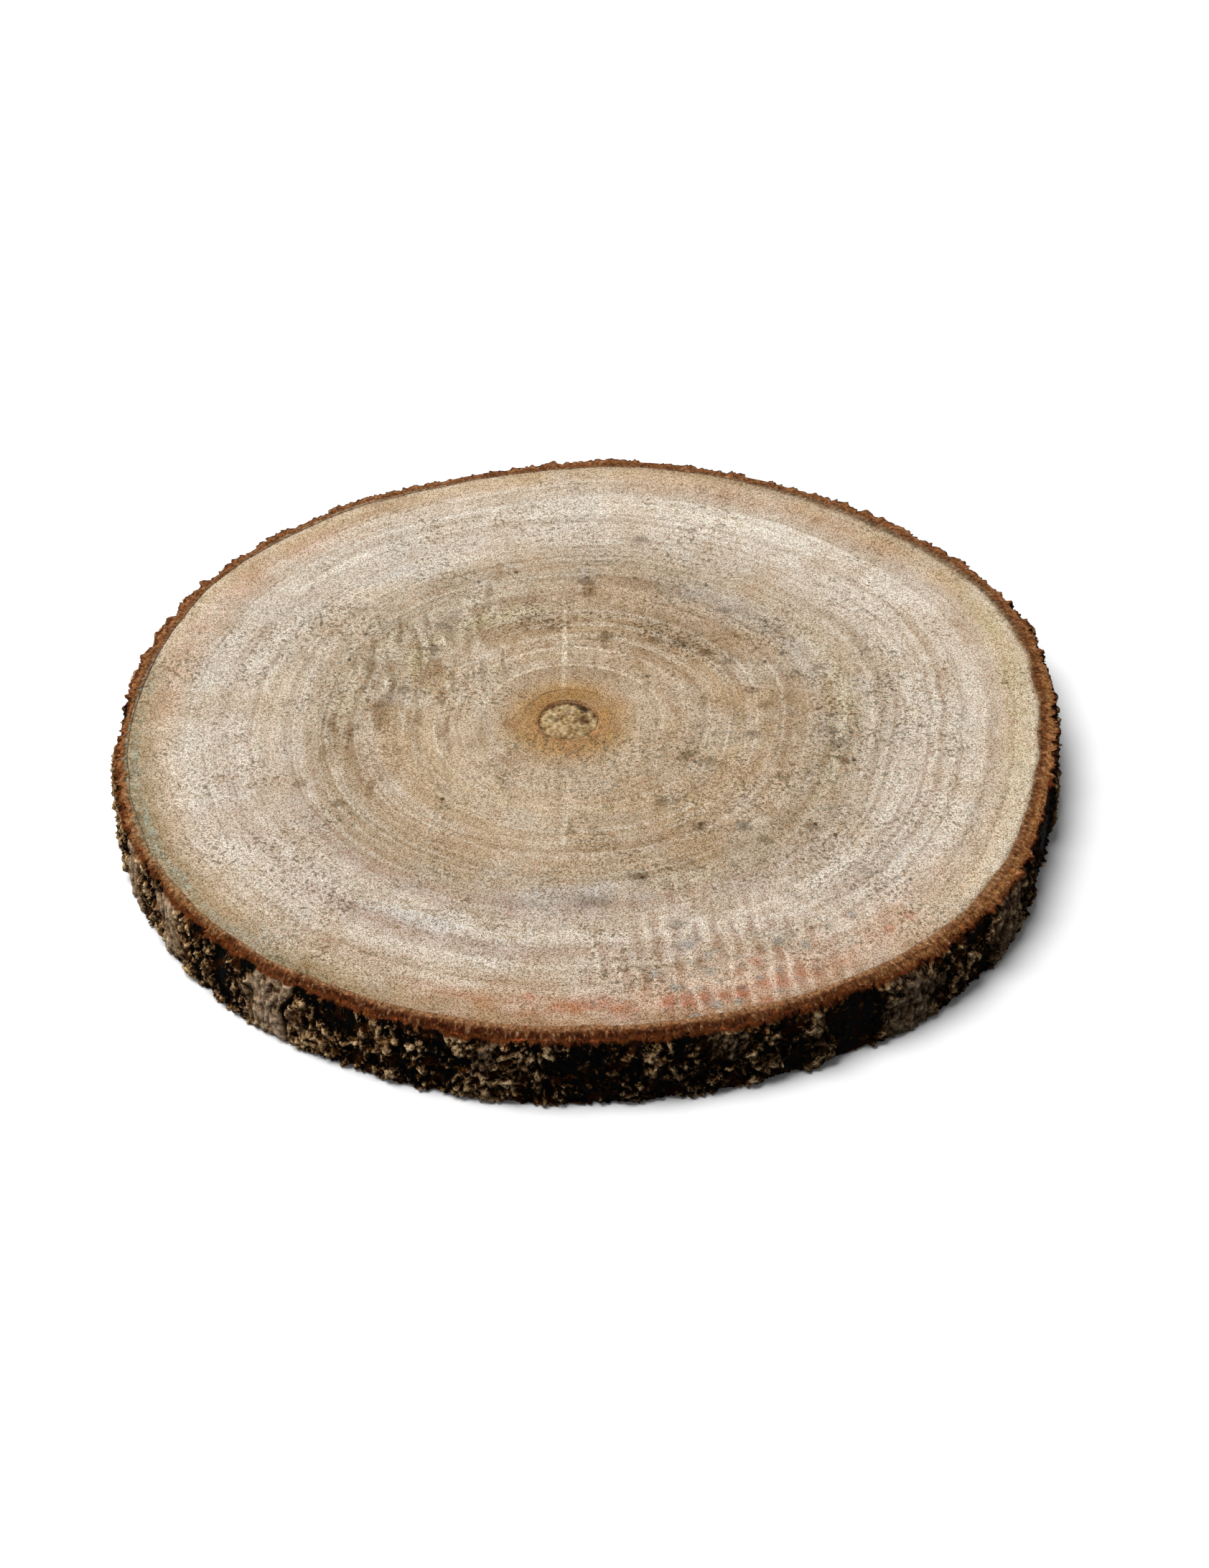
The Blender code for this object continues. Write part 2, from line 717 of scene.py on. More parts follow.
@dataclass(frozen=True)
class ToothLines(Patch):
    """Evenly spaced straight lines left by the teeth, inside an oval patch.

    Attributes:
        pitch: Distance from line to line, in metres.
        breadth: Share of the pitch that a line takes.
        lean: How far the lines lean to the right going up, as a slope.
        run: Length of one unbroken piece of a line, in metres.
        shift: How far the lines are shifted, as a share of the pitch.
        bend_size: Size of the bends in the lines, in metres.
        lost, kept: Noise values at which a line is worn away and at which it is whole.
    """

    pitch: float = 5.0 * MM
    breadth: float = 0.4
    lean: float = 0.0
    run: float = 7.0 * MM
    shift: float = 0.0
    bend_size: ClassVar[float] = 22 * MM
    lost: ClassVar[float] = 0.36
    kept: ClassVar[float] = 0.6

    def cover(self, graph: Graph, fields: SurfaceFields) -> Socket:
        """Cover the lines, inside the patch."""
        upright = graph.add(
            "VectorMath",
            {0: fields.place, 1: (1.0, -self.lean, 0.0)},
            out="Value",
            operation="DOT_PRODUCT",
        )
        bend = graph.add("TexNoise", {"Vector": fields.place, "Scale": 1.0 / self.bend_size})
        swayed = graph.add(
            "Math", {0: bend, 1: self.pitch, 2: upright}, operation="MULTIPLY_ADD"
        )
        moved = graph.add("Math", {0: swayed, 1: self.shift * self.pitch}, operation="ADD")
        fold = graph.add("Math", {0: moved, 1: self.pitch / 2.0}, operation="PINGPONG")
        line = graph.add(
            "MapRange",
            {"Value": fold, "From Min": self.pitch / 2.0 * self.breadth, "From Max": 0.0},
            interpolation_type="SMOOTHSTEP",
        )
        worn = graph.add(
            "TexNoise", {"Vector": fields.place, "Scale": 1.0 / self.run, "Detail": 1.0}
        )
        whole = graph.add(
            "MapRange", {"Value": worn, "From Min": self.lost, "From Max": self.kept}
        )
        shown = graph.add("Math", {0: line, 1: whole}, operation="MULTIPLY")
        inside = super().cover(graph, fields)
        return graph.add("Math", {0: shown, 1: inside}, operation="MULTIPLY")


@dataclass(frozen=True)
class Mottle(Layer):
    """A play of darker and paler grains, all over, that leaves the mean tone much as it is.

    Attributes:
        size: Width of one grain, in metres.
        stray: How far the noise strays from its middle before a grain shows fully.
        paler: How far a grain may go paler than the tone beneath, from 0 to 1.
        middle: Cover where the noise is at its middle.
    """

    size: float
    stray: float = 0.25
    paler: float = 0.7
    middle: ClassVar[float] = 0.15
    blend: ClassVar[Blend] = Blend.SHADE

    def cover(self, graph: Graph, fields: SurfaceFields) -> Socket:
        """Add the nodes of the layer's cover and return it, below 0 where it is paler."""
        value = self.grains(graph, fields, self.size)
        palest = self.stray * (self.middle + self.paler) / (1.0 - self.middle)
        return graph.add(
            "MapRange",
            {
                "Value": value,
                "From Min": 0.5 - palest,
                "From Max": 0.5 + self.stray,
                "To Min": -self.paler,
            },
        )


@dataclass(frozen=True)
class Grain(Layer):
    """Grains of one size, all over.

    Attributes:
        size: Width of one grain, in metres.
        onset: Noise value at which a grain starts to show.
        full: Noise value at which it shows fully; below the onset for the other half.
        rough: How much finer detail a grain carries, from 0 to 1.
    """

    size: float
    onset: float
    full: float
    rough: float = 0.5

    def cover(self, graph: Graph, fields: SurfaceFields) -> Socket:
        """Cover the grains."""
        value = self.grains(graph, fields, self.size, self.rough)
        return graph.add(
            "MapRange", {"Value": value, "From Min": self.onset, "From Max": self.full}
        )


@dataclass(frozen=True)
class Swarm(Grain):
    """Grains that gather in loose swarms.

    Attributes:
        crowd: Size of one swarm, in metres.
        thin: Noise value at which a swarm starts.
        thick: Noise value at which it is full.
    """

    crowd: float = 24.0 * MM
    thin: float = 0.45
    thick: float = 0.62

    def cover(self, graph: Graph, fields: SurfaceFields) -> Socket:
        """Cover the grains, inside the swarms."""
        value = graph.add(
            "TexNoise", {"Vector": fields.place, "Scale": 1.0 / self.crowd, "Detail": 2.0}
        )
        crowded = graph.add(
            "MapRange", {"Value": value, "From Min": self.thin, "From Max": self.thick}
        )
        grains = super().cover(graph, fields)
        return graph.add("Math", {0: grains, 1: crowded}, operation="MULTIPLY")


# Finishes


@dataclass(frozen=True)
class Finish:
    """A dry, matt finish of the trunk.

    Attributes:
        name: The material's name.
        attribute: Name of the vertex attribute that its growth field reads.
        waver: How far that field wanders.
        roughness: The shader's roughness.
        specular: The shader's specular level.
        relief: Depth of its finest relief, in metres.
        bump_strength: How much of that relief the light shows.
    """

    name: str
    attribute: str
    waver: float
    roughness: float
    specular: float
    relief: float
    bump_strength: ClassVar[float] = 0.6

    def make(self, pith: Vector) -> bpy.types.Material:
        """Make the material.

        Args:
            pith: The pith's place on the upper face.

        Returns:
            The material.
        """
        material = bpy.data.materials.new(self.name)
        material.use_nodes = True
        shader = material.node_tree.nodes["Principled BSDF"]
        shader.inputs["Roughness"].default_value = self.roughness
        shader.inputs["Specular IOR Level"].default_value = self.specular
        graph = Graph(material.node_tree)
        fields = SurfaceFields.on(graph, pith, self.attribute, self.waver)
        colour, height = self.dress(graph, fields)
        bump = graph.add(
            "Bump", {"Height": height, "Distance": self.relief, "Strength": self.bump_strength}
        )
        graph.tree.links.new(colour, shader.inputs["Base Color"])
        graph.tree.links.new(bump, shader.inputs["Normal"])
        return material

    def dress(self, graph: Graph, fields: SurfaceFields) -> tuple[Socket, Socket]:
        """Add the finish's own nodes.

        Args:
            graph: The material's graph.
            fields: What the layers are laid out on.

        Returns:
            The colour and the height of the fine relief.
        """
        raise NotImplementedError


@dataclass(frozen=True)
class SawnEndGrain(Finish):
    """End grain of a fast-grown, pale hardwood, sawn by a coarse blade and left to dry unsanded.

    The blade tears the fibres, so it has no shine at all, a fine dark speckle of open pores, faint
    straight tooth marks across the rings, and mould specks from slow drying.
    """

    name: str = "sawn_end_grain"
    attribute: str = "growth"
    waver: float = 0.012
    roughness: float = 0.88
    specular: float = 0.22
    relief: float = 0.2 * MM
    torn_size: float = 0.8 * MM
    heart: tuple[tuple[float, str], ...] = (
        (0.00, "af8356"),
        (0.05, "b38f60"),
        (0.11, "c2af96"),
        (0.22, "c9b49a"),
        (0.32, "c2ab8b"),
        (0.43, "cbb59b"),
        (0.52, "bba98f"),
        (0.62, "ccbdaa"),
        (0.74, "dcd1c3"),
        (0.86, "dbcfc0"),
        (0.95, "dec9b1"),
        (1.00, "d6c1a4"),
    )
    rim_stains: tuple[Layer, ...] = (
        Band("d3c6b0", 0.8, 0.985, 0.050, 335.0, 75.0, 14 * MM, 0.4),
        Band("c0b088", 0.7, 0.955, 0.050, 20.0, 50.0, 14 * MM, 0.5),
        Band("b0653f", 0.95, 0.945, 0.060, 280.0, 38.0, 9 * MM, 0.6),
        Band("a67c5e", 0.90, 0.990, 0.045, 278.0, 55.0, 12 * MM, 0.4),
        Band("ba8a6c", 0.50, 0.880, 0.080, 300.0, 36.0, 9 * MM, 0.8),
        Band("c09274", 0.55, 0.930, 0.070, 155.0, 40.0, 14 * MM, 0.7),
        Band("bb9676", 0.60, 0.945, 0.070, 52.0, 34.0, 14 * MM, 0.6),
        Band("c2a782", 0.60, 0.975, 0.050, 105.0, 60.0, 14 * MM, 0.5),
        Band("a48c66", 0.85, 0.965, 0.075, 215.0, 62.0, 14 * MM, 0.35),
        Band("7d7355", 0.85, 0.992, 0.026, 210.0, 52.0, 5 * MM, 0.7),
        Band("a3b0a2", 0.65, 0.980, 0.018, 205.0, 44.0, 3 * MM, 1.0),
        Band("a48a62", 0.55, 0.960, 0.060, 245.0, 40.0, 10 * MM, 0.6),
    )
    patches: tuple[Layer, ...] = (
        Patch("85694a", 0.40, -18 * MM, 50 * MM, 66 * MM, 34 * MM, 14.0, 9 * MM, 2.0),
        Patch("806546", 0.45, 32 * MM, 40 * MM, 60 * MM, 36 * MM, -30.0, 9 * MM, 2.0),
        Patch("8c7659", 0.40, -46 * MM, 30 * MM, 22 * MM, 56 * MM, -10.0, 7 * MM, 1.6),
        Patch("8a7453", 0.40, 62 * MM, 8 * MM, 22 * MM, 70 * MM, 0.0, 7 * MM, 1.6),
        Patch("8d7758", 0.40, -62 * MM, -12 * MM, 24 * MM, 66 * MM, 4.0, 7 * MM, 1.6),
        Patch("957a56", 0.40, 30 * MM, -56 * MM, 90 * MM, 40 * MM, 0.0, 7 * MM, 1.6),
        Patch("6f675c", 0.70, 22 * MM, 90 * MM, 9 * MM, 9 * MM, 0.0, 4 * MM),
        Patch("c6c5c6", 0.50, 0 * MM, -80 * MM, 62 * MM, 16 * MM, 4.0, 9 * MM, 1.6),
        Patch("77716a", 0.75, 8 * MM, -82 * MM, 17 * MM, 8 * MM, 0.0, 4 * MM),
        Patch("d6d4d3", 0.60, -38 * MM, -89 * MM, 36 * MM, 10 * MM, -20.0, 7 * MM, 1.4),
        Patch("cfc9c2", 0.50, 30 * MM, -98 * MM, 60 * MM, 16 * MM, 12.0, 6 * MM),
        Patch("867e72", 0.70, 60 * MM, -79 * MM, 9 * MM, 7 * MM, 0.0, 4 * MM),
        Patch("c4c1bf", 0.60, -46 * MM, 72 * MM, 40 * MM, 14 * MM, 22.0, 5 * MM),
        Patch("ecdcc3", 0.90, -0.4 * MM, 34 * MM, 2.4 * MM, 60 * MM, 0.0, 6 * MM, 0.2),
        Patch("e2d1b8", 0.70, 0.6 * MM, -46 * MM, 2.4 * MM, 52 * MM, -3.0, 6 * MM, 0.4),
        Patch("a07a55", 0.60, -16 * MM, -3 * MM, 13 * MM, 9 * MM, 0.0, 4 * MM),
        Patch("a07a55", 0.50, -15 * MM, -19 * MM, 12 * MM, 8 * MM, 0.0, 4 * MM),
        Patch("9c6b3c", 0.50, 2 * MM, -17 * MM, 9 * MM, 9 * MM, 0.0, 3 * MM),
    )
    tones: tuple[Layer, ...] = tuple(
        Band(tint, 0.45, at, half, crest, spread, 20 * MM, 0.4)
        for tint, at, half, crest, spread in (
            ("774430", 0.625, 0.060, 258.0, 110.0),
            ("9c856f", 0.910, 0.060, 30.0, 110.0),
            ("493030", 0.510, 0.055, 55.0, 45.0),
            ("814d30", 0.765, 0.055, 258.0, 115.0),
            ("f7f1e1", 0.820, 0.060, 95.0, 70.0),
            ("f7f7f2", 0.960, 0.045, 240.0, 70.0),
            ("996c34", 0.870, 0.060, 268.0, 60.0),
            ("f7edca", 0.555, 0.060, 0.0, 40.0),
            ("f7f7d1", 0.380, 0.060, 130.0, 45.0),
            ("a18561", 0.420, 0.060, 210.0, 110.0),
            ("f7f1d8", 0.470, 0.050, 140.0, 60.0),
            ("e9d9c0", 0.650, 0.060, 150.0, 60.0),
            ("866542", 0.120, 0.060, 90.0, 70.0),
            ("8d6c43", 0.570, 0.060, 205.0, 100.0),
        )
    )
    rings: tuple[Layer, ...] = (
        Band("e4d4bd", 0.90, 0.145, 0.009, 90.0, 120.0, 30 * MM, 0.25),
        Band("e4d4be", 0.85, 0.214, 0.009, 95.0, 120.0, 30 * MM, 0.25),
        Band("dccdb6", 0.75, 0.268, 0.008, 100.0, 110.0, 30 * MM, 0.3),
        Band("957a57", 0.55, 0.435, 0.012, 0.0, 80.0, 10 * MM, 0.7),
        Band("e4dbcd", 0.70, 0.655, 0.009, 95.0, 75.0, 30 * MM, 0.35),
        Band("a0866a", 0.40, 0.785, 0.018, 8.0, 75.0, 16 * MM, 0.4),
        Band("d8cdbd", 0.60, 0.815, 0.012, 20.0, 110.0, 18 * MM, 0.5),
        Band("eee6da", 0.75, 0.860, 0.011, 88.0, 80.0, 34 * MM, 0.3),
        Band("ded5c8", 0.70, 0.850, 0.022, 185.0, 60.0, 16 * MM, 0.5),
        Band("d8cdbe", 0.60, 0.760, 0.030, 170.0, 70.0, 16 * MM, 0.6),
    )
    halo: tuple[Layer, ...] = (
        Band("9b7a48", 0.80, 0.022, 0.034, 90.0, 200.0, 9 * MM, 0.3),
        Band("9c7038", 0.40, 0.026, 0.020, 60.0, 120.0, 7 * MM, 0.4),
        Band("5f4022", 0.75, 0.044, 0.0045, 105.0, 115.0, 5 * MM, 0.5),
        # A dark line round the wood's inner edge: partly the pith's own dark outline, partly painted
        # shade where the pith is sunk.
        Band("583a1e", 0.85, 0.000, 0.0045, 60.0, 200.0, 5 * MM, 0.3),
    )
    streaks: tuple[Layer, ...] = (
        Streaks("8f7557", 0.42, 0.050, 120 * MM, 0.50, 0.28, 0.20, 3.0),
        Streaks("e2d8ca", 0.40, 0.045, 120 * MM, 0.50, 0.72, 0.30, 9.0),
        Streaks("84694b", 0.34, 0.012, 150 * MM, 0.46, 0.28, 0.12, 17.0),
        Streaks("efe7da", 0.34, 0.012, 150 * MM, 0.55, 0.72, 0.12, 29.0),
    )
    saw_marks: tuple[Layer, ...] = (
        SawMarks("775b37", 0.70, -42 * MM, 18 * MM, 80 * MM, 108 * MM, 0.0, 8 * MM, 1.2,
                 4.2 * MM, 19 * MM, 0.50, 0.34),
        SawMarks("ded0bc", 0.70, -44 * MM, 22 * MM, 80 * MM, 108 * MM, 0.0, 8 * MM, 1.2,
                 4.8 * MM, 20 * MM, 0.51, 0.66),
        SawMarks("9c8361", 0.45, 10 * MM, 0 * MM, 190 * MM, 200 * MM, 0.0, 8 * MM, 0.6,
                 3.0 * MM, 16 * MM, 0.50, 0.30),
        ToothLines("9c7458", 0.65, 42 * MM, -104 * MM, 100 * MM, 80 * MM, 0.0, 8 * MM, 0.5,
                   5.0 * MM, 0.75, -0.10, 9 * MM, 0.5),
        ToothLines("ecdac6", 0.72, 42 * MM, -104 * MM, 100 * MM, 80 * MM, 0.0, 8 * MM, 0.5,
                   5.0 * MM, 0.60, -0.10, 9 * MM),
        SawMarks("928f88", 0.50, 44 * MM, -108 * MM, 66 * MM, 50 * MM, 0.0, 8 * MM, 0.6,
                 4.0 * MM, 4 * MM, 0.48, 0.34),
    )
    blocks: tuple[Layer, ...] = (
        Blots("d9cab5", 0.55, 4.2 * MM, 17 * MM, (
            (-38, 50), (-37, 34), (-53, 31), (-45, 20), (-40, 7), (-62, -23), (-71, 0), (-46, 38),
            (-29, 52), (-21, 53),
        )),
        Blots("80643f", 0.50, 3.6 * MM, 13 * MM, (
            (-34, 41), (-42, 31), (-41, 0), (-60, 26), (-50, 24), (-50, 0), (-67, -17), (-36, 24),
            (-23, 62), (7, 65), (-35, 10), (-20, 73), (-12, 46), (-53, -34), (-25, 46), (11, 38),
        )),
        Blots("8b8b88", 0.65, 3.6 * MM, 5 * MM, (
            (40, -124), (45, -123), (34, -129), (33, -100), (38, -104), (56, -99), (63, -100),
            (76, -88), (48, -50), (21, -72), (24, -112), (29, -117),
        )),
        Blots("b97c62", 0.60, 5 * MM, 6 * MM, (
            (11, -122), (28, -122), (50, -107), (91, -88), (85, -94), (53, -123), (-8, -121),
        )),
        Blots("5a4622", 0.55, 6.5 * MM, 5.5 * MM, (
            (37, -51), (49, -50), (27, -39), (21, -72), (76, -12), (74, -6), (77, -20), (67, -50),
            (54, -56), (40, -21), (34, -18), (53, 13), (56, 6), (33, 36), (40, 32), (26, 38),
            (46, 27), (6, 68), (6, 62), (-36, 45), (-38, 34), (46, 53), (72, 24), (-46, 13),
            (52, -8), (60, -28), (12, 40), (-4, 44), (30, -92), (-61, -40), (-72, -31),
        ), 1.8, 2.0 * MM),
        Blots("3c2812", 0.90, 1.8 * MM, 2.2 * MM, (
            (40, -77), (73, -54), (92, -73), (57, 27), (62, 31), (66, 22), (20, 70), (41, 66),
            (-26, 68), (49, 40), (71, 4), (80, -20), (21, -72), (37, -49), (53, 14), (34, 35),
            (6, 70), (-15, 73), (36, -21), (76, -14), (68, -49), (-62, 28), (-33, -38),
        ), 0.6, 1.5 * MM),
    )
    specks: tuple[Layer, ...] = (
        SpeckledPatch("4a3514", 0.80, -16 * MM, 49 * MM, 60 * MM, 26 * MM, 10.0, 8 * MM, 2.0),
        SpeckledPatch("44300f", 0.85, 33 * MM, 38 * MM, 50 * MM, 30 * MM, -28.0, 8 * MM, 2.0),
        SpeckledPatch("4a3514", 0.75, 6 * MM, 66 * MM, 8 * MM, 26 * MM, 0.0, 6 * MM, 1.6),
        SpeckledPatch("50391a", 0.50, -40 * MM, 40 * MM, 26 * MM, 50 * MM, -20.0, 8 * MM, 1.8),
        SpeckledPatch("44300f", 0.75, 74 * MM, 6 * MM, 22 * MM, 70 * MM, 8.0, 8 * MM, 1.8),
        SpeckledPatch("4a3514", 0.60, 44 * MM, -34 * MM, 60 * MM, 66 * MM, 20.0, 8 * MM, 2.2),
        SpeckledPatch("4a3514", 0.55, -4 * MM, -72 * MM, 96 * MM, 20 * MM, 0.0, 8 * MM, 2.0),
        SpeckledPatch("50391a", 0.50, -52 * MM, -14 * MM, 30 * MM, 80 * MM, 0.0, 8 * MM, 2.0),
        Speckles("44290c", 0.70, 0.34, 0.26, 85.0, 150.0, 9 * MM, 0.75, 0.9 * MM, 0.43, 0.36),
        Speckles("44290c", 0.55, 0.45, 0.34, 0.0, 200.0, 9 * MM, 0.8, 0.8 * MM, 0.43, 0.36),
        Speckles("4e4426", 0.45, 0.80, 0.40, 250.0, 140.0, 12 * MM, 0.7, 0.9 * MM, 0.42, 0.35),
        Grain("5a4018", 0.45, 0.6 * MM, 0.40, 0.33),
        Grain("a8612c", 0.25, 1.6 * MM, 0.60, 0.68),
    )
    grain: tuple[Layer, ...] = (
        Grain("cfccc8", 0.18, 16.0 * MM, 0.50, 0.70),
        Grain("ab875c", 0.25, 16.0 * MM, 0.50, 0.70),
        Mottle("9d8238", 0.14, 7.0 * MM),
        Mottle("9d8238", 0.86, 0.32 * MM, 0.13, 0.28),
    )
    mould: tuple[Layer, ...] = (
        Swarm("54482c", 0.64, 1.2 * MM, 0.58, 0.63, 0.5, 26 * MM, 0.44, 0.58),
        Swarm("66593c", 0.40, 4.0 * MM, 0.60, 0.74, 0.5, 48 * MM, 0.46, 0.60),
        Swarm("565a4c", 0.58, 1.3 * MM, 0.58, 0.63, 0.5, 60 * MM, 0.50, 0.60),
    )

    def dress(self, graph: Graph, fields: SurfaceFields) -> tuple[Socket, Socket]:
        """Lay the stains, rings, marks and grain over the wood's own colour."""
        colour = graph.add("ValToRGB", {"Fac": fields.growth}, stops=self.heart)
        groups = (
            self.patches, self.tones, self.streaks, self.rim_stains, self.rings, self.halo,
            self.saw_marks, self.blocks, self.mould, self.specks, self.grain,
        )
        for group in groups:
            for layer in group:
                colour = layer.lay(graph, fields, colour)
        # Pores are 0.1 to 0.2 mm across, too fine to show, so the torn relief is drawn at 0.8 mm.
        torn = graph.add(
            "TexNoise", {"Vector": fields.place, "Scale": 1.0 / self.torn_size, "Detail": 2.0}
        )
        return colour, torn


@dataclass(frozen=True)
class FurrowedBark(Finish):
    """Dry, flaking bark of a young trunk, cut through by the saw at both faces.

    The crust takes its colour from its own relief: the furrows, hollows and plate wrinkles go to black
    as painted shade, and the crests go pale tan, partly as painted highlight.
    The plates between the furrows are a dull grey brown, broken flakes show warm orange brown, and on
    the cut face a brown inner bark lies inside a thin orange outer one.

    Attributes:
        cut: Colours across the sawn faces, from the wood out.
        depth: Colours of the crust, from its furrows to its crests: black in the furrows as painted
            shade, pale on the crests partly as painted highlight.
        sheet: Colours of the whole plates, from their wrinkles, darkened as painted shade, to their
            crests.
        grain_size: Width of one grain of the wall, in metres.
        fray: How strongly the fine grain frays the crust's light and dark.
        bare: How chipped the edge is where the rust starts to show and where it shows fully.
        rust: Colour of the inner bark where the edge has chipped away.
    """

    name: str = "furrowed_bark"
    attribute: str = "across"
    waver: float = 0.10
    roughness: float = 0.95
    specular: float = 0.05
    relief: float = 1.0 * MM
    cut: tuple[tuple[float, str], ...] = (
        (0.00, "8a6c50"),
        (0.12, "7c583a"),
        (0.40, "774a2b"),
        (0.60, "84532f"),
        (0.75, "946540"),
        (1.00, "8a5c3a"),
    )
    cut_layers: tuple[Layer, ...] = (
        Band("a07654", 0.90, 0.05, 0.55, 275.0, 70.0, 6 * MM, 0.35),
        Band("5f3a20", 0.70, 0.25, 0.30, 5.0, 52.0, 5 * MM, 0.5),
        Band("4a2310", 0.85, 0.85, 0.70, 240.0, 40.0, 6 * MM, 0.3),
        # Painted shade: this dark band darkens the cut face at the front, most at its chipped outer
        # edge.
        Band("3a1706", 0.97, 1.00, 0.95, 278.0, 70.0, 6 * MM, 0.25),
        Band("77705a", 0.85, 0.10, 0.42, 190.0, 30.0, 4 * MM, 0.5),
        Band("93a093", 0.70, 0.15, 0.30, 190.0, 30.0, 2 * MM, 1.0),
        Band("a8957c", 0.80, 0.10, 0.34, 122.0, 22.0, 4 * MM, 0.7),
        Band("8a7c66", 0.80, 0.10, 0.40, 45.0, 34.0, 4 * MM, 0.6),
        Band("b5834f", 0.75, 0.66, 0.22, 335.0, 50.0, 6 * MM, 0.5),
        Band("a87c58", 0.60, 0.22, 0.22, 312.0, 40.0, 3 * MM, 0.8),
        Band("9c5a26", 0.60, 0.78, 0.16, 270.0, 90.0, 5 * MM, 1.0),
        Band("3c170a", 0.85, 0.66, 0.40, 272.0, 52.0, 5 * MM, 0.35),
        Band("a8552a", 0.70, 0.86, 0.10, 262.0, 40.0, 4 * MM, 1.0),
        Band("a3845c", 0.60, 0.40, 0.50, 208.0, 24.0, 5 * MM, 0.5),
    )
    # From the furrows' black, which is painted shade, to the crests' pale tan, partly painted
    # highlight.
    depth: tuple[tuple[float, str], ...] = (
        (0.34, "000000"),
        (0.43, "0c0603"),
        (0.53, "3e2a17"),
        (0.66, "7c5f40"),
        (0.86, "ab8d66"),
        (1.00, "d3b992"),
    )
    # The plates' wrinkles go dark as painted shade.
    sheet: tuple[tuple[float, str], ...] = (
        (0.16, "0c0704"),
        (0.32, "46321f"),
        (0.54, "8c745b"),
        (0.80, "b19a80"),
        (1.00, "ccb9a2"),
    )
    grain_size: float = 1.9 * MM
    fray: float = 2.0
    bare: tuple[float, float] = (0.25, 0.6)
    wall_layers: tuple[Layer, ...] = (
        Grain("6e3a16", 0.20, 5.0 * MM, 0.54, 0.66, 0.7),
        Grain("a8702f", 0.28, 1.8 * MM, 0.60, 0.68, 0.7),
        # Painted shade: this near-black band darkens the front of the wall.
        Band("040302", 0.45, 1.00, 0.60, 282.0, 36.0, 5 * MM, 0.8),
        Mottle("9d8238", 0.30, 2.4 * MM),
        Mottle("9d8238", 0.70, 0.6 * MM),
    )
    cut_grain: tuple[Layer, ...] = (
        Fibres("3e1c0c", 0.60, 134 * MM, 1.3 * MM, 2.0, 0.50, 0.34),
        Fibres("d8aa7c", 0.28, 134 * MM, 0.9 * MM, 2.5, 0.54, 0.68),
        Grain("b4642c", 0.30, 1.3 * MM, 0.60, 0.68),
        Mottle("9d8238", 0.35, 3.0 * MM),
        Mottle("9d8238", 0.60, 1.2 * MM),
        Mottle("9d8238", 0.90, 0.6 * MM),
    )
    rust: str = "5e3015"

    def dress(self, graph: Graph, fields: SurfaceFields) -> tuple[Socket, Socket]:
        """Dress the sawn faces of the bark and its grown outer wall, and join them at the edge."""
        grain = graph.add(
            "TexNoise",
            {
                "Vector": fields.place,
                "Scale": 1.0 / self.grain_size,
                "Detail": 3.0,
                "Roughness": 0.62,
                "Distortion": 1.3,
            },
        )
        face = graph.add("ValToRGB", {"Fac": fields.growth}, stops=self.cut)
        for layer in (*self.cut_layers, *self.cut_grain):
            face = layer.lay(graph, fields, face)
        wall = self._wall(graph, fields, grain)
        skin = graph.add("Attribute", out="Fac", attribute_name="skin")
        colour = graph.add("Mix", {0: skin, 6: face, 7: wall}, out=2, data_type="RGBA")
        return colour, grain

    def _wall(self, graph: Graph, fields: SurfaceFields, grain: Socket) -> Socket:
        """Add the grown outer face of the bark.

        Args:
            graph: The material's graph.
            fields: What the layers are laid out on.
            grain: The fine noise that breaks the edges up.

        Returns:
            The colour.
        """
        relief = graph.add("Attribute", out="Fac", attribute_name="relief")
        fuzz = graph.add("MapRange", {"Value": grain, "To Min": -0.5, "To Max": 0.5})
        level = graph.add(
            "Math", {0: fuzz, 1: self.fray, 2: relief}, operation="MULTIPLY_ADD"
        )
        smoother = graph.add("Math", {0: fuzz, 1: relief}, operation="ADD")
        # The crust and the plates take their colour from their relief level, so the furrows, hollows
        # and wrinkles are painted dark as painted shade.
        crust = graph.add("ValToRGB", {"Fac": level}, stops=self.depth)
        sheet = graph.add("ValToRGB", {"Fac": smoother}, stops=self.sheet)
        plate = graph.add("Attribute", out="Fac", attribute_name="plate")
        wall = graph.add("Mix", {0: plate, 6: crust, 7: sheet}, out=2, data_type="RGBA")
        chip = graph.add("Attribute", out="Fac", attribute_name="chip")
        torn = graph.add("Math", {0: chip, 1: fuzz}, operation="ADD")
        starts, ends = self.bare
        bare = graph.add("MapRange", {"Value": torn, "From Min": starts, "From Max": ends})
        wall = graph.add(
            "Mix", {0: bare, 6: wall, 7: linear(self.rust)}, out=2, data_type="RGBA"
        )
        for layer in self.wall_layers:
            wall = layer.lay(graph, fields, wall)
        return wall


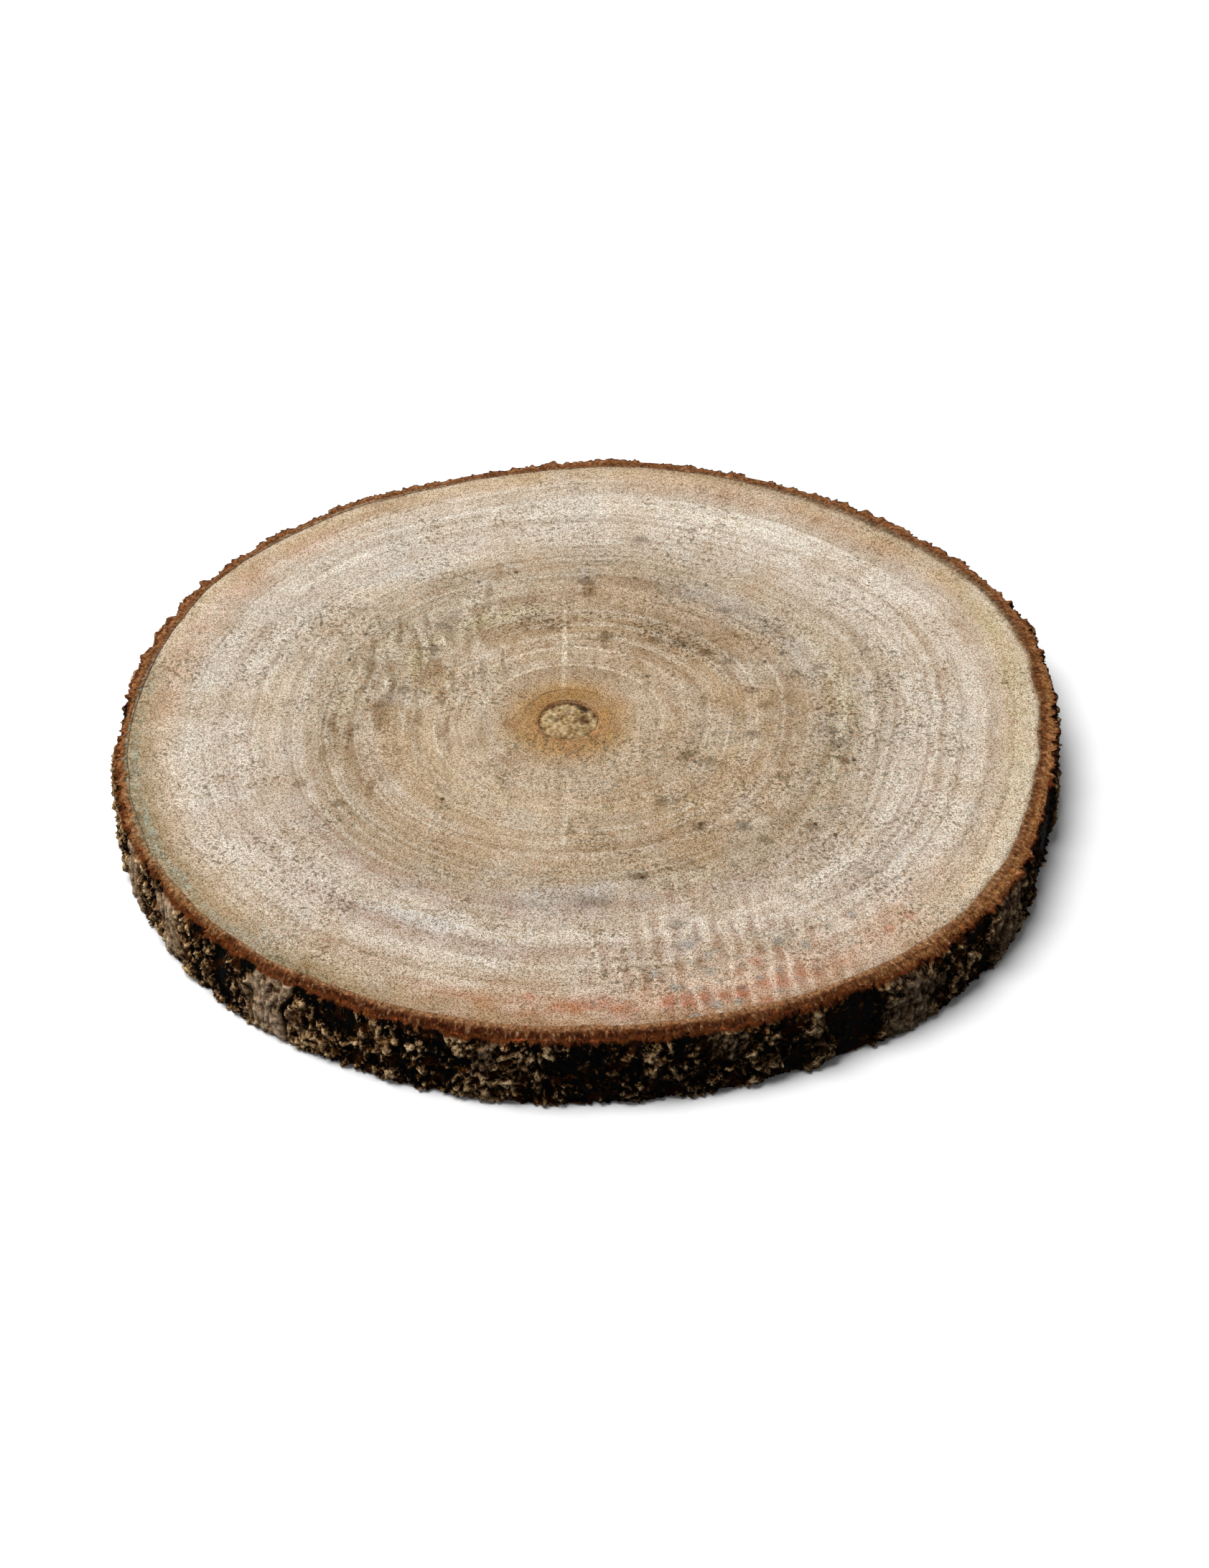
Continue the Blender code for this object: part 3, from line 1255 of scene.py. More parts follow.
@dataclass(frozen=True)
class SpongyPith(Finish):
    """The trunk's soft core: a dry, corky foam of large cells, torn by the saw.

    It is paler and yellower than the wood, crumbly, and full of small dark pits. Its colour follows
    how high the foam stands, so the sunken cells and the drooping rim are darker, as painted shade.
    """

    name: str = "spongy_pith"
    attribute: str = "depth"
    waver: float = 0.0
    roughness: float = 0.95
    specular: float = 0.12
    relief: float = 0.4 * MM
    cell_size: float = 0.9 * MM
    # Darkest where the foam is sunk: painted shade.
    foam: tuple[tuple[float, str], ...] = (
        (0.05, "1f1208"),
        (0.30, "583d20"),
        (0.55, "967950"),
        (0.80, "aa8f66"),
        (1.00, "bfa883"),
    )
    pits: tuple[Layer, ...] = (
        Mottle("806a3c", 0.50, 1.8 * MM),
        Mottle("806a3c", 0.60, 0.8 * MM),
    )
    stains_and_gap_shade: tuple[Layer, ...] = (
        Patch("4a2a0e", 0.90, 5.4 * MM, -1.8 * MM, 5 * MM, 6 * MM, 0.0, 2 * MM, 1.2),
        # Partly dark torn foam, partly painted shade: these two dark patches lie along the plug's edge
        # where the gap opens.
        Patch("1d0e04", 0.95, 5.4 * MM, 3.8 * MM, 6.4 * MM, 4.6 * MM, -40.0, 2 * MM, 0.8),
        Patch("2c190a", 0.90, 2.4 * MM, 6.4 * MM, 8.0 * MM, 3.0 * MM, -14.0, 2 * MM, 1.0),
        Patch("8b8468", 0.25, -3.0 * MM, -1.0 * MM, 6 * MM, 7 * MM, 0.0, 2 * MM, 1.0),
    )

    def dress(self, graph: Graph, fields: SurfaceFields) -> tuple[Socket, Socket]:
        """Colour the foam by its depth, darker where it is sunk as painted shade, and scatter dark
        pits over it.
        """
        colour = graph.add("ValToRGB", {"Fac": fields.growth}, stops=self.foam)
        for layer in (*self.stains_and_gap_shade, *self.pits):
            colour = layer.lay(graph, fields, colour)
        cells = graph.add(
            "TexNoise", {"Vector": fields.place, "Scale": 1.0 / self.cell_size, "Detail": 2.0}
        )
        return colour, cells


@dataclass(frozen=True)
class StudioFloor:
    """Smooth white paper, matt, so that only the slice's soft shadow shows on it."""

    tint: str = "fafafa"
    roughness: float = 0.95

    def make(self) -> bpy.types.Material:
        """Make the material."""
        material = bpy.data.materials.new("matt_white_paper")
        material.use_nodes = True
        shader = material.node_tree.nodes["Principled BSDF"]
        shader.inputs["Base Color"].default_value = linear(self.tint)
        shader.inputs["Roughness"].default_value = self.roughness
        shader.inputs["Specular IOR Level"].default_value = 0.0
        return material


# The pieces of the slice


class Face(Enum):
    """Which part of a piece a stretch of its profile draws."""

    TOP = 1
    SIDE = 2
    BOTTOM = 3
    HIDDEN = 4


@dataclass(frozen=True)
class Station:
    """One point of a piece's profile.

    Attributes:
        across: Share of the way from the piece's inner edge to its outer edge.
        height: Share of the slice's thickness.
        face: The part that the profile draws just after this point.
        room: Share of the chart that the step after this point takes.
    """

    across: float
    height: float
    face: Face
    room: float


@dataclass(frozen=True)
class Stretch:
    """A straight stretch of a profile.

    Attributes:
        start: Share across and share of the height where it starts.
        end: The same where it ends.
        count: How many rings draw it.
        face: The part that it draws.
        room: Share of the chart that it takes.
    """

    start: tuple[float, float]
    end: tuple[float, float]
    count: int
    face: Face
    room: float = 0.5

    def stations(self) -> list[Station]:
        """Return evenly spaced stations from the start up to, but not at, the end."""
        return [
            Station(
                blend(self.start[0], self.end[0], step / self.count),
                blend(self.start[1], self.end[1], step / self.count),
                self.face,
                self.room / self.count,
            )
            for step in range(self.count)
        ]


@dataclass(frozen=True)
class Spot:
    """What a point of a piece is pressed to.

    Attributes:
        radius: Its distance from the pith, in metres.
        height: Its height above the lower face, in metres.
        notes: Its vertex attributes, by name.
    """

    radius: float
    height: float
    notes: dict[str, float]


@dataclass
class RingedPiece:
    """A closed piece drawn ring by ring about the pith and pressed to its real shape.

    Attributes:
        slice_: The slice that it is part of.
        name: The piece's name.
        steps: How many points make one ring.
        top_disc, bottom_disc: Share of the chart's width that each sawn face takes.
        margin: Share of the chart kept free round everything.
        strip_width, strip_height: Share of the chart that the rest takes.
    """

    slice_: Slice
    name: str = "piece"
    steps: int = 360
    top_disc: float = 0.76
    bottom_disc: float = 0.37
    margin: float = 0.008
    strip_width: float = 0.56
    strip_height: float = 0.08

    def stretches(self) -> tuple[Stretch, ...]:
        """Return the stretches of the closed profile."""
        raise NotImplementedError

    def press(self, angle: float, station: Station) -> Spot:
        """Return what a point is pressed to.

        Args:
            angle: Its heading from the pith.
            station: The point of the profile that it stands for.

        Returns:
            Its place and its vertex attributes.
        """
        raise NotImplementedError

    def reach(self) -> float:
        """Return a radius that holds the whole piece."""
        raise NotImplementedError

    def chart(self, face: Face, place: Vector, turn: float, along: float) -> tuple[float, float]:
        """Place a corner on the flat chart: two discs for the sawn faces, a strip for the rest.

        Args:
            face: The part that the corner is on.
            place: The corner, seen from the pith.
            turn: Its heading as a share of a turn.
            along: How far along the profile it is, as a share.

        Returns:
            Its place on the chart, each way from 0 to 1.
        """
        if face is Face.TOP:
            middle = self.margin + self.top_disc / 2.0
            scale = self.top_disc / (2.0 * self.reach())
            return middle + place.x * scale, 1.0 - middle + place.y * scale
        if face is Face.BOTTOM:
            middle = self.margin + self.bottom_disc / 2.0
            scale = self.bottom_disc / (2.0 * self.reach())
            return 1.0 - middle + place.x * scale, middle + place.y * scale
        return self.margin + turn * self.strip_width, self.margin + along * self.strip_height

    def build(self) -> bpy.types.Object:
        """Draw the piece ring by ring along its profile, close it and return the object."""
        mesh = bmesh.new()
        radius = self.slice_.growth.mean_radius
        bmesh.ops.create_circle(mesh, cap_ends=False, radius=radius, segments=self.steps)
        bmesh.ops.translate(mesh, verts=mesh.verts, vec=self.slice_.pith_foot)
        stations = [station for stretch in self.stretches() for station in stretch.stations()]
        ring_layer = mesh.verts.layers.int.new("ring")
        step_layer = mesh.faces.layers.int.new("step")
        for name in self.press(0.0, stations[0]).notes:
            mesh.verts.layers.float.new(name)
        first_ring = list(mesh.edges)
        self._press_ring(mesh, list(mesh.verts), stations[0])
        ring = first_ring
        for index, station in enumerate(stations[1:], start=1):
            grown = bmesh.ops.extrude_edge_only(mesh, edges=ring)["geom"]
            ring = [item for item in grown if isinstance(item, bmesh.types.BMEdge)]
            verts = [item for item in grown if isinstance(item, bmesh.types.BMVert)]
            for vert in verts:
                vert[ring_layer] = index
            for item in grown:
                if isinstance(item, bmesh.types.BMFace):
                    item[step_layer] = index - 1
            self._press_ring(mesh, verts, station)
        for item in bmesh.ops.bridge_loops(mesh, edges=first_ring + ring)["faces"]:
            item[step_layer] = len(stations) - 1
        bmesh.ops.recalc_face_normals(mesh, faces=mesh.faces)
        self._draw_chart(mesh, stations)
        mesh.verts.layers.int.remove(mesh.verts.layers.int["ring"])
        mesh.faces.layers.int.remove(mesh.faces.layers.int["step"])
        for face in mesh.faces:
            face.smooth = True
        data = bpy.data.meshes.new(self.name)
        mesh.to_mesh(data)
        mesh.free()
        piece = bpy.data.objects.new(self.name, data)
        bpy.context.collection.objects.link(piece)
        return piece

    def _press_ring(
        self, mesh: bmesh.types.BMesh, verts: list[bmesh.types.BMVert], station: Station
    ) -> None:
        """Press one ring of points to its place on the piece and note what each point is.

        Args:
            mesh: The mesh that the ring is part of.
            verts: The ring's points, still at the headings that they keep.
            station: The point of the profile that the ring stands for.
        """
        pith = self.slice_.pith_foot
        layers = mesh.verts.layers.float
        for vert in verts:
            outward = vert.co - pith
            angle = math.atan2(outward.y, outward.x)
            spot = self.press(angle, station)
            vert.co = pith + around_vector(angle) * spot.radius + UP * spot.height
            for name, value in spot.notes.items():
                vert[layers[name]] = value

    def _draw_chart(self, mesh: bmesh.types.BMesh, stations: list[Station]) -> None:
        """Give every corner its place on the flat chart.

        Args:
            mesh: The closed mesh.
            stations: The profile's points.
        """
        chart_layer = mesh.loops.layers.uv.new(CHART_NAME)
        ring_layer = mesh.verts.layers.int["ring"]
        step_layer = mesh.faces.layers.int["step"]
        starts = [0.0]
        for station in stations:
            starts.append(starts[-1] + station.room)
        pith = self.slice_.pith_foot
        for face in mesh.faces:
            step = face[step_layer]
            outward = face.calc_center_median() - pith
            middle = math.atan2(outward.y, outward.x)
            for loop in face.loops:
                place = loop.vert.co - pith
                angle = middle + wrapped(math.atan2(place.y, place.x) - middle)
                along = starts[step] if loop.vert[ring_layer] == step else starts[step + 1]
                turn = angle / FULL_TURN + 0.5
                strip = middle / FULL_TURN + 0.5
                spot = self.chart_corner(stations[step].face, place, (turn, strip), along)
                loop[chart_layer].uv = spot

    def chart_corner(
        self, face: Face, place: Vector, turns: tuple[float, float], along: float
    ) -> tuple[float, float]:
        """Return a corner's place on the chart, from its own turn and its facet's."""
        return self.chart(face, place, turns[0], along)


@dataclass
class SawnWood(RingedPiece):
    """The wood between pith and bark, sawn on both faces.

    Attributes:
        top_rings, bottom_rings: How many rings draw each sawn face.
        saw_relief, saw_pitch, saw_run: Depth, width and length of the saw's ripples, in metres.
        ring_relief, ring_share: Depth of the growth rings, and one ring's share of the growth.
        reach_share: A radius that holds the wood, as a share of the mean radius.
    """

    name: str = "sawn_wood"
    steps: int = 560
    top_rings: int = 104
    bottom_rings: int = 40
    saw_relief: float = 0.12 * MM
    saw_pitch: float = 4.0 * MM
    saw_run: float = 70.0 * MM
    ring_relief: float = 0.10 * MM
    ring_share: float = 0.025
    reach_share: float = 1.06

    def stretches(self) -> tuple[Stretch, ...]:
        """Return the closed profile: up beside the bark, in over the top, down and back out."""
        return (
            Stretch((1.0, 0.0), (1.0, 1.0), 4, Face.HIDDEN),
            Stretch((1.0, 1.0), (0.0, 1.0), self.top_rings, Face.TOP, 0.0),
            Stretch((0.0, 1.0), (0.0, 0.0), 4, Face.HIDDEN),
            Stretch((0.0, 0.0), (1.0, 0.0), self.bottom_rings, Face.BOTTOM, 0.0),
        )

    def reach(self) -> float:
        """Return a radius that holds the whole piece."""
        return self.slice_.growth.mean_radius * self.reach_share

    def press(self, angle: float, station: Station) -> Spot:
        """Place a point between the pith's edge and the bark, on a faintly rippled saw cut.

        Args:
            angle: Its heading from the pith.
            station: The point of the profile that it stands for.

        Returns:
            Its place and its growth share.
        """
        growth = self.slice_.growth
        radius = blend(growth.pith_radius(angle), growth.wood_radius(angle), station.across)
        place = around_vector(angle) * radius
        marks = noise.noise(
            Vector((place.x / self.saw_pitch, place.y / self.saw_run, station.height))
        )
        rings = noise.noise(around_vector(angle) + UP * (station.across / self.ring_share))
        ripple = self.saw_relief * (1.0 - marks) + self.ring_relief * (1.0 - rings)
        height = station.height * self.slice_.thickness
        if station.height == 1.0:
            height -= ripple
        elif station.height == 0.0:
            height += ripple
        return Spot(radius, height, {"growth": station.across})


@dataclass(frozen=True)
class Zone:
    """A stretch of the bark's wall that is a whole plate, or a hollow.

    Attributes:
        heading: Its middle, in degrees about the pith.
        half: Half its width, in metres.
        strength: How whole the plate is, or how deep the hollow, from 0 to 1.
        low, high: Where it ends below and above, as shares of the slice's thickness.
    """

    heading: float
    half: float
    strength: float
    low: float = -0.3
    high: float = 1.3


@dataclass(frozen=True)
class CrustMix:
    """How much each kind of roughness lifts or lowers the bark's level, which runs from 0 to 1.

    Attributes:
        base, plate_base: The level before anything is added, on the crust and on a whole plate.
        lumps, stands, curls, crests: What the crust's lumps, flakes, curls and crests add.
        crest_sharpness: How quickly a crest falls away to both sides.
        crack_edge: Distances between which the crack beside a flake closes.
        cracks, fissures, hollows: What cracks, fissures and hollows take away.
        fissure_edge, wrinkle_edge: Noise value at which a fissure or a wrinkle has closed.
        plate_break: How far a fissure breaks up a whole plate.
        plate_wrinkles, plate_curls, plate_lumps: What a whole plate's own relief adds.
    """

    base: float = 0.50
    lumps: float = 0.40
    stands: float = 0.42
    curls: float = 0.30
    crests: float = 0.36
    crest_sharpness: float = 5.0
    crack_edge: tuple[float, float] = (0.04, 0.34)
    cracks: float = 0.30
    fissures: float = 0.5
    hollows: float = 0.75
    fissure_edge: float = 0.10
    wrinkle_edge: float = 0.22
    plate_break: float = 0.6
    plate_base: float = 0.38
    plate_wrinkles: float = 0.34
    plate_curls: float = 0.3
    plate_lumps: float = 0.2


@dataclass
class Bark(RingedPiece):
    """The bark: a ring that the saw cut flat above and below, furrowed and flaking outside.

    Attributes:
        face_rings, wall_rings: How many rings draw a sawn face and the wall.
        joint: Gap between the wood and the bark, in metres, as all lengths here.
        strips: How many strips of the chart the ring is cut into.
        proud, swell: How far the crests stand out of the trunk's outline, and more at mid height.
        furrow_depth: Depth of the deepest furrow.
        warp_size, warp_reach: Size and reach of the warp that bends every pattern.
        lump_size, crest_size, flake_size: Sizes of the crust's lumps, crests and flakes.
        curl_size, curl_reach: Size and reach of the curls torn into the flakes.
        shuffle: Spreads the flakes' places apart, so that neighbours stand at unlike heights.
        fissure_gap, fissure_run: Distance between the upright fissures, and their length.
        wrinkle_size, wrinkle_run: Width and length of a whole plate's wrinkles.
        ragged_edge, edge_blur, core: How ragged and how soft a zone's edge is, and its whole core.
        shoulder, front_shoulder: How far the rim is cut back, all round and more at the front.
        front_heading, front_reach: Where the front is, and how far round it goes, as cosines.
        foot_share: How much of the upper rim's wear the lower rim has.
        lip, lip_range: Height of the chips in the rim, and how much it varies.
        bite_size, bite_mean, bite_swing: Width of the rim's bites, and their mean and spread.
        cut_least, cut_bite: Share of the cut between bites, and what a bite adds.
        slope_start: Share across at which the upper face starts to fall towards the rim.
        edge_drop, front_drop, drop_mean: How far it falls, all round and at the front.
        crumb_size, crumb_depth, crumb_start: Size, depth and start of the crumbling sawn face.
        reach_share: A radius that holds the bark, as a share of the mean radius.
        mix: How the crust is put together.
        plates, hollows: The whole plates on the wall, and the hollows in it, which the finish paints
            black as painted shade.
    """

    name: str = "bark"
    steps: int = 1900
    face_rings: int = 8
    wall_rings: int = 36
    joint: float = 0.06 * MM
    strips: int = 5
    proud: float = 1.8 * MM
    swell: float = 0.5 * MM
    furrow_depth: float = 2.6 * MM
    warp_size: float = 8.0 * MM
    warp_reach: float = 2.6 * MM
    lump_size: float = 8.0 * MM
    crest_size: float = 3.6 * MM
    curl_size: float = 1.5 * MM
    curl_reach: float = 1.3 * MM
    flake_size: float = 2.7 * MM
    shuffle: float = 3.7
    fissure_gap: float = 14.0 * MM
    fissure_run: float = 46.0 * MM
    ragged_edge: float = 6.0 * MM
    wrinkle_size: float = 1.7 * MM
    wrinkle_run: float = 8.0 * MM
    shoulder: float = 0.7 * MM
    front_shoulder: float = 1.3 * MM
    front_heading: float = math.radians(-92.0)
    foot_share: float = 0.25
    lip: float = 1.3 * MM
    lip_range: float = 2.2 * MM
    slope_start: float = 0.45
    edge_drop: float = 0.5 * MM
    front_drop: float = 1.6 * MM
    crumb_size: float = 1.6 * MM
    crumb_depth: float = 0.25 * MM
    edge_blur: float = 0.18
    core: float = 0.45
    bite_size: float = 7.0 * MM
    bite_mean: float = 0.5
    bite_swing: float = 0.9
    front_reach: tuple[float, float] = (0.2, 0.95)
    cut_least: float = 0.5
    cut_bite: float = 0.6
    crumb_start: float = 0.3
    drop_mean: float = 0.7
    reach_share: float = 1.1
    mix: CrustMix = CrustMix()
    plates: tuple[Zone, ...] = (
        Zone(206.5, 6.0 * MM, 0.95),
        Zone(217.5, 6.0 * MM, 1.0),
        Zone(236.3, 10.0 * MM, 1.0),
        Zone(262.3, 2.5 * MM, 0.8, 0.5, 0.95),
        Zone(287.5, 4.5 * MM, 0.9, 0.5, 0.95),
        Zone(296.5, 3.0 * MM, 0.6, 0.1, 0.5),
        Zone(309.5, 9.5 * MM, 0.95, -0.3, 0.85),
        Zone(326.5, 8.0 * MM, 0.75),
        Zone(8.0, 9.0 * MM, 0.6),
        Zone(47.0, 10.0 * MM, 0.9),
        Zone(85.0, 7.0 * MM, 0.7),
        Zone(118.0, 10.0 * MM, 0.9),
        Zone(163.0, 8.0 * MM, 0.8),
    )
    hollows: tuple[Zone, ...] = (
        Zone(244.5, 5.0 * MM, 0.25),
        Zone(257.0, 4.0 * MM, 0.5),
        Zone(273.0, 12.0 * MM, 0.30),
        Zone(284.0, 10.0 * MM, 0.25),
        Zone(295.0, 7.0 * MM, 0.50),
        Zone(301.7, 7.0 * MM, 1.0),
        Zone(320.5, 5.0 * MM, 0.35),
        Zone(340.5, 20.0 * MM, 0.75),
        Zone(66.0, 8.0 * MM, 0.8),
        Zone(102.0, 8.0 * MM, 0.7),
        Zone(140.0, 8.0 * MM, 0.8),
        Zone(180.0, 9.0 * MM, 0.6),
    )

    def stretches(self) -> tuple[Stretch, ...]:
        """Return the closed profile: up the hidden joint, out over the top, down and back in."""
        return (
            Stretch((0.0, 0.0), (0.0, 1.0), 2, Face.HIDDEN, 0.05),
            Stretch((0.0, 1.0), (1.0, 1.0), self.face_rings, Face.TOP, 0.20),
            Stretch((1.0, 1.0), (1.0, 0.0), self.wall_rings, Face.SIDE, 0.60),
            Stretch((1.0, 0.0), (0.0, 0.0), self.face_rings // 2, Face.BOTTOM, 0.15),
        )

    def reach(self) -> float:
        """Return a radius that holds the whole piece."""
        return self.slice_.growth.mean_radius * self.reach_share

    def chart_corner(
        self, face: Face, place: Vector, turns: tuple[float, float], along: float
    ) -> tuple[float, float]:
        """Return a corner's place on the chart: the ring cut into equal strips, one over another."""
        turn, middle = turns
        strip = min(int(middle * self.strips), self.strips - 1)
        across = blend(self.margin, 1.0 - self.margin, turn * self.strips - strip)
        gap = self.margin * self.strips
        return across, (strip + blend(gap / 2.0, 1.0 - gap / 2.0, along)) / self.strips

    def crust(self, angle: float, rise: float) -> tuple[float, float]:
        """Return how far the wall stands out of its furrows, and how smooth a plate it is.

        Args:
            angle: Heading from the pith.
            rise: Height above the lower face, in metres.

        Returns:
            A level from 0 in the furrows to 1 on the highest crests, and a share from 0 to 1.
        """
        mix = self.mix
        wall = around_vector(angle) * self.slice_.growth.mean_radius + UP * rise
        place = wall + noise.noise_vector(wall / self.warp_size) * self.warp_reach
        torn = place + noise.noise_vector(place / self.curl_size) * self.curl_reach
        distances, middles = noise.voronoi(torn / self.flake_size)
        crack = 1.0 - smooth_step(*mix.crack_edge, distances[1] - distances[0])
        stand = noise.noise(middles[0] * self.shuffle)
        curl = noise.noise(place / self.curl_size)
        lumps = noise.noise(place / self.lump_size)
        ridge = abs(noise.noise(place / self.crest_size))
        crest = max(0.0, 1.0 - mix.crest_sharpness * ridge)
        level = mix.base + mix.lumps * lumps + mix.stands * stand
        level += mix.curls * curl + mix.crests * crest
        drawn = Vector((place.x, place.y, place.z * self.fissure_gap / self.fissure_run))
        split = abs(noise.noise(drawn / self.fissure_gap))
        fissure = 1.0 - smooth_step(0.0, mix.fissure_edge, split)
        level -= mix.cracks * crack + mix.fissures * fissure
        plate = self.zone_share(self.plates, angle, place) * (1.0 - mix.plate_break * fissure)
        wrinkled = Vector((place.x, place.y, place.z * self.wrinkle_size / self.wrinkle_run))
        fold = abs(noise.noise(wrinkled / self.wrinkle_size))
        whole = mix.plate_base + mix.plate_wrinkles * smooth_step(0.0, mix.wrinkle_edge, fold)
        whole += mix.plate_curls * curl + mix.plate_lumps * lumps
        level = blend(level, whole, plate)
        level -= mix.hollows * self.zone_share(self.hollows, angle, place)
        return min(1.0, max(0.0, level)), plate

    def zone_share(self, zones: tuple[Zone, ...], angle: float, place: Vector) -> float:
        """Return how much of the strongest zone there is at a place on the wall.

        Args:
            zones: The zones, of which the strongest counts.
            angle: Heading from the pith.
            place: The place on the wall, already warped.

        Returns:
            Its share, from 0 to 1.
        """
        radius = self.slice_.growth.mean_radius
        ragged = self.ragged_edge * (
            noise.noise(place / self.warp_size)
            + 0.7 * noise.noise(place / self.crest_size)
            + 0.6 * noise.noise(place / self.curl_size)
        )
        rise = (place.z + ragged) / self.slice_.thickness
        share = 0.0
        for zone in zones:
            distance = abs(wrapped(angle - math.radians(zone.heading))) * radius + ragged
            edge = 1.0 - smooth_step(self.core * zone.half, zone.half, distance)
            edge *= smooth_step(zone.low - self.edge_blur, zone.low + self.edge_blur, rise)
            edge *= smooth_step(zone.high + self.edge_blur, zone.high - self.edge_blur, rise)
            share = max(share, edge * zone.strength)
        return share

    def press(self, angle: float, station: Station) -> Spot:
        """Place a point of the bark and note what it is.

        Args:
            angle: Its heading from the pith.
            station: The point of the profile that it stands for.

        Returns:
            Its place and its vertex attributes.
        """
        growth = self.slice_.growth
        thickness = self.slice_.thickness
        rise = station.height * thickness
        level, plate = self.crust(angle, rise)
        around = around_vector(angle) * growth.mean_radius
        bite = self.bite_mean + noise.noise(around / self.bite_size) * self.bite_swing
        lip = self.lip + self.lip_range * max(0.0, bite)
        fall = min(rise, thickness - rise)
        chip = 1.0 - smooth_step(0.0, lip, fall)
        if station.height < 0.5:
            chip *= self.foot_share
        frontal = smooth_step(*self.front_reach, math.cos(angle - self.front_heading))
        cut_back = self.shoulder + self.front_shoulder * frontal
        cut_back *= self.cut_least + max(0.0, bite) * self.cut_bite
        outer = growth.grown_radius(angle) + self.proud
        outer += self.swell * math.sin(math.pi * station.height)
        outer -= self.furrow_depth * (1.0 - level) + cut_back * chip
        radius = blend(growth.wood_radius(angle) + self.joint, outer, station.across)
        crumb = noise.noise(around_vector(angle) * (radius / self.crumb_size)) - 1.0
        sink = self.crumb_depth * crumb * smooth_step(0.0, self.crumb_start, station.across)
        slope = smooth_step(self.slope_start, 1.0, station.across)
        bump = self.drop_mean + noise.noise(around / self.crest_size)
        sink -= slope * (self.edge_drop + self.front_drop * frontal * bump)
        height = rise
        if station.height == 1.0:
            height += sink
        elif station.height == 0.0:
            height -= sink * self.foot_share
        at_edge = station.height in (0.0, 1.0)
        skin = 1.0 if station.across == 1.0 and not at_edge else 0.0
        # The relief level also sets the crust's colour: black in the furrows and hollows, which is
        # painted shade.
        shares = {"across": station.across, "relief": level, "plate": plate}
        return Spot(radius, height, {**shares, "chip": chip, "skin": skin})


@dataclass
class Pith(RingedPiece):
    """The pith's plug, torn a little below the upper face, with a gap along part of its edge.

    Attributes:
        face_rings: How many rings draw a face.
        sunk, rim_drop: Depth of the torn foam, and how far its rim droops, in metres.
        axis_share: How near the axis the rings start, so that no ring shrinks to a point.
        tight_gap, open_gap: Gap round the plug, and how much more there is where it opens.
        open_heading, opening_reach: Where the gap opens, and how far round, as cosines.
        cell_size, lump_size: Sizes of the foam's cells and lumps, in metres.
        foam_base, foam_cells, foam_lumps: The foam's height, and what cells and lumps add.
        droop_start, droop_least: Share across where the rim droops, and its least droop.
        sink_least: Share of the depth that even the crests sink by.
        droop_shade: How much darker the drooping rim is painted, as painted shade.
    """

    name: str = "pith"
    steps: int = 180
    face_rings: int = 36
    sunk: float = 0.35 * MM
    rim_drop: float = 0.6 * MM
    axis_share: float = 0.004
    tight_gap: float = 0.15 * MM
    open_gap: float = 0.45 * MM
    open_heading: float = math.radians(70.0)
    cell_size: float = 1.4 * MM
    lump_size: float = 3.0 * MM
    opening_reach: tuple[float, float] = (0.1, 0.9)
    foam_base: float = 0.30
    foam_cells: float = 0.9
    foam_lumps: float = 0.35
    droop_start: float = 0.8
    droop_least: float = 0.3
    sink_least: float = 0.2
    droop_shade: float = 0.5

    def stretches(self) -> tuple[Stretch, ...]:
        """Return the closed profile, from just off the axis."""
        axis = self.axis_share
        return (
            Stretch((axis, 1.0), (1.0, 1.0), self.face_rings, Face.TOP, 0.0),
            Stretch((1.0, 1.0), (1.0, 0.0), 8, Face.HIDDEN),
            Stretch((1.0, 0.0), (axis, 0.0), self.face_rings // 2, Face.BOTTOM, 0.0),
            Stretch((axis, 0.0), (axis, 1.0), 1, Face.HIDDEN),
        )

    def reach(self) -> float:
        """Return a radius that holds the whole piece."""
        return self.slice_.growth.pith_length / 2.0

    def press(self, angle: float, station: Station) -> Spot:
        """Place a point on the torn foam.

        Args:
            angle: Its heading from the pith.
            station: The point of the profile that it stands for.

        Returns:
            Its place and how deep in the foam it lies.
        """
        growth = self.slice_.growth
        opening = smooth_step(*self.opening_reach, math.cos(angle - self.open_heading))
        gap = self.tight_gap + self.open_gap * opening
        radius = (growth.pith_radius(angle) - gap) * station.across
        place = around_vector(angle) * radius
        cells = noise.voronoi(place / self.cell_size)[0][0]
        lumps = noise.noise(place / self.lump_size)
        depth = min(1.0, self.foam_base + self.foam_cells * cells + self.foam_lumps * lumps)
        droop = smooth_step(self.droop_start, 1.0, station.across)
        droop *= blend(self.droop_least, 1.0, opening)
        sink = self.sunk * blend(self.sink_least, 1.0, 1.0 - depth) + self.rim_drop * droop
        height = station.height * self.slice_.thickness
        if station.height == 1.0:
            height -= sink
        elif station.height == 0.0:
            height += sink
        # The depth share also sets the foam's colour: the sunken cells and the drooping rim go darker
        # as painted shade.
        return Spot(radius, height, {"depth": depth - self.droop_shade * droop})


# The studio


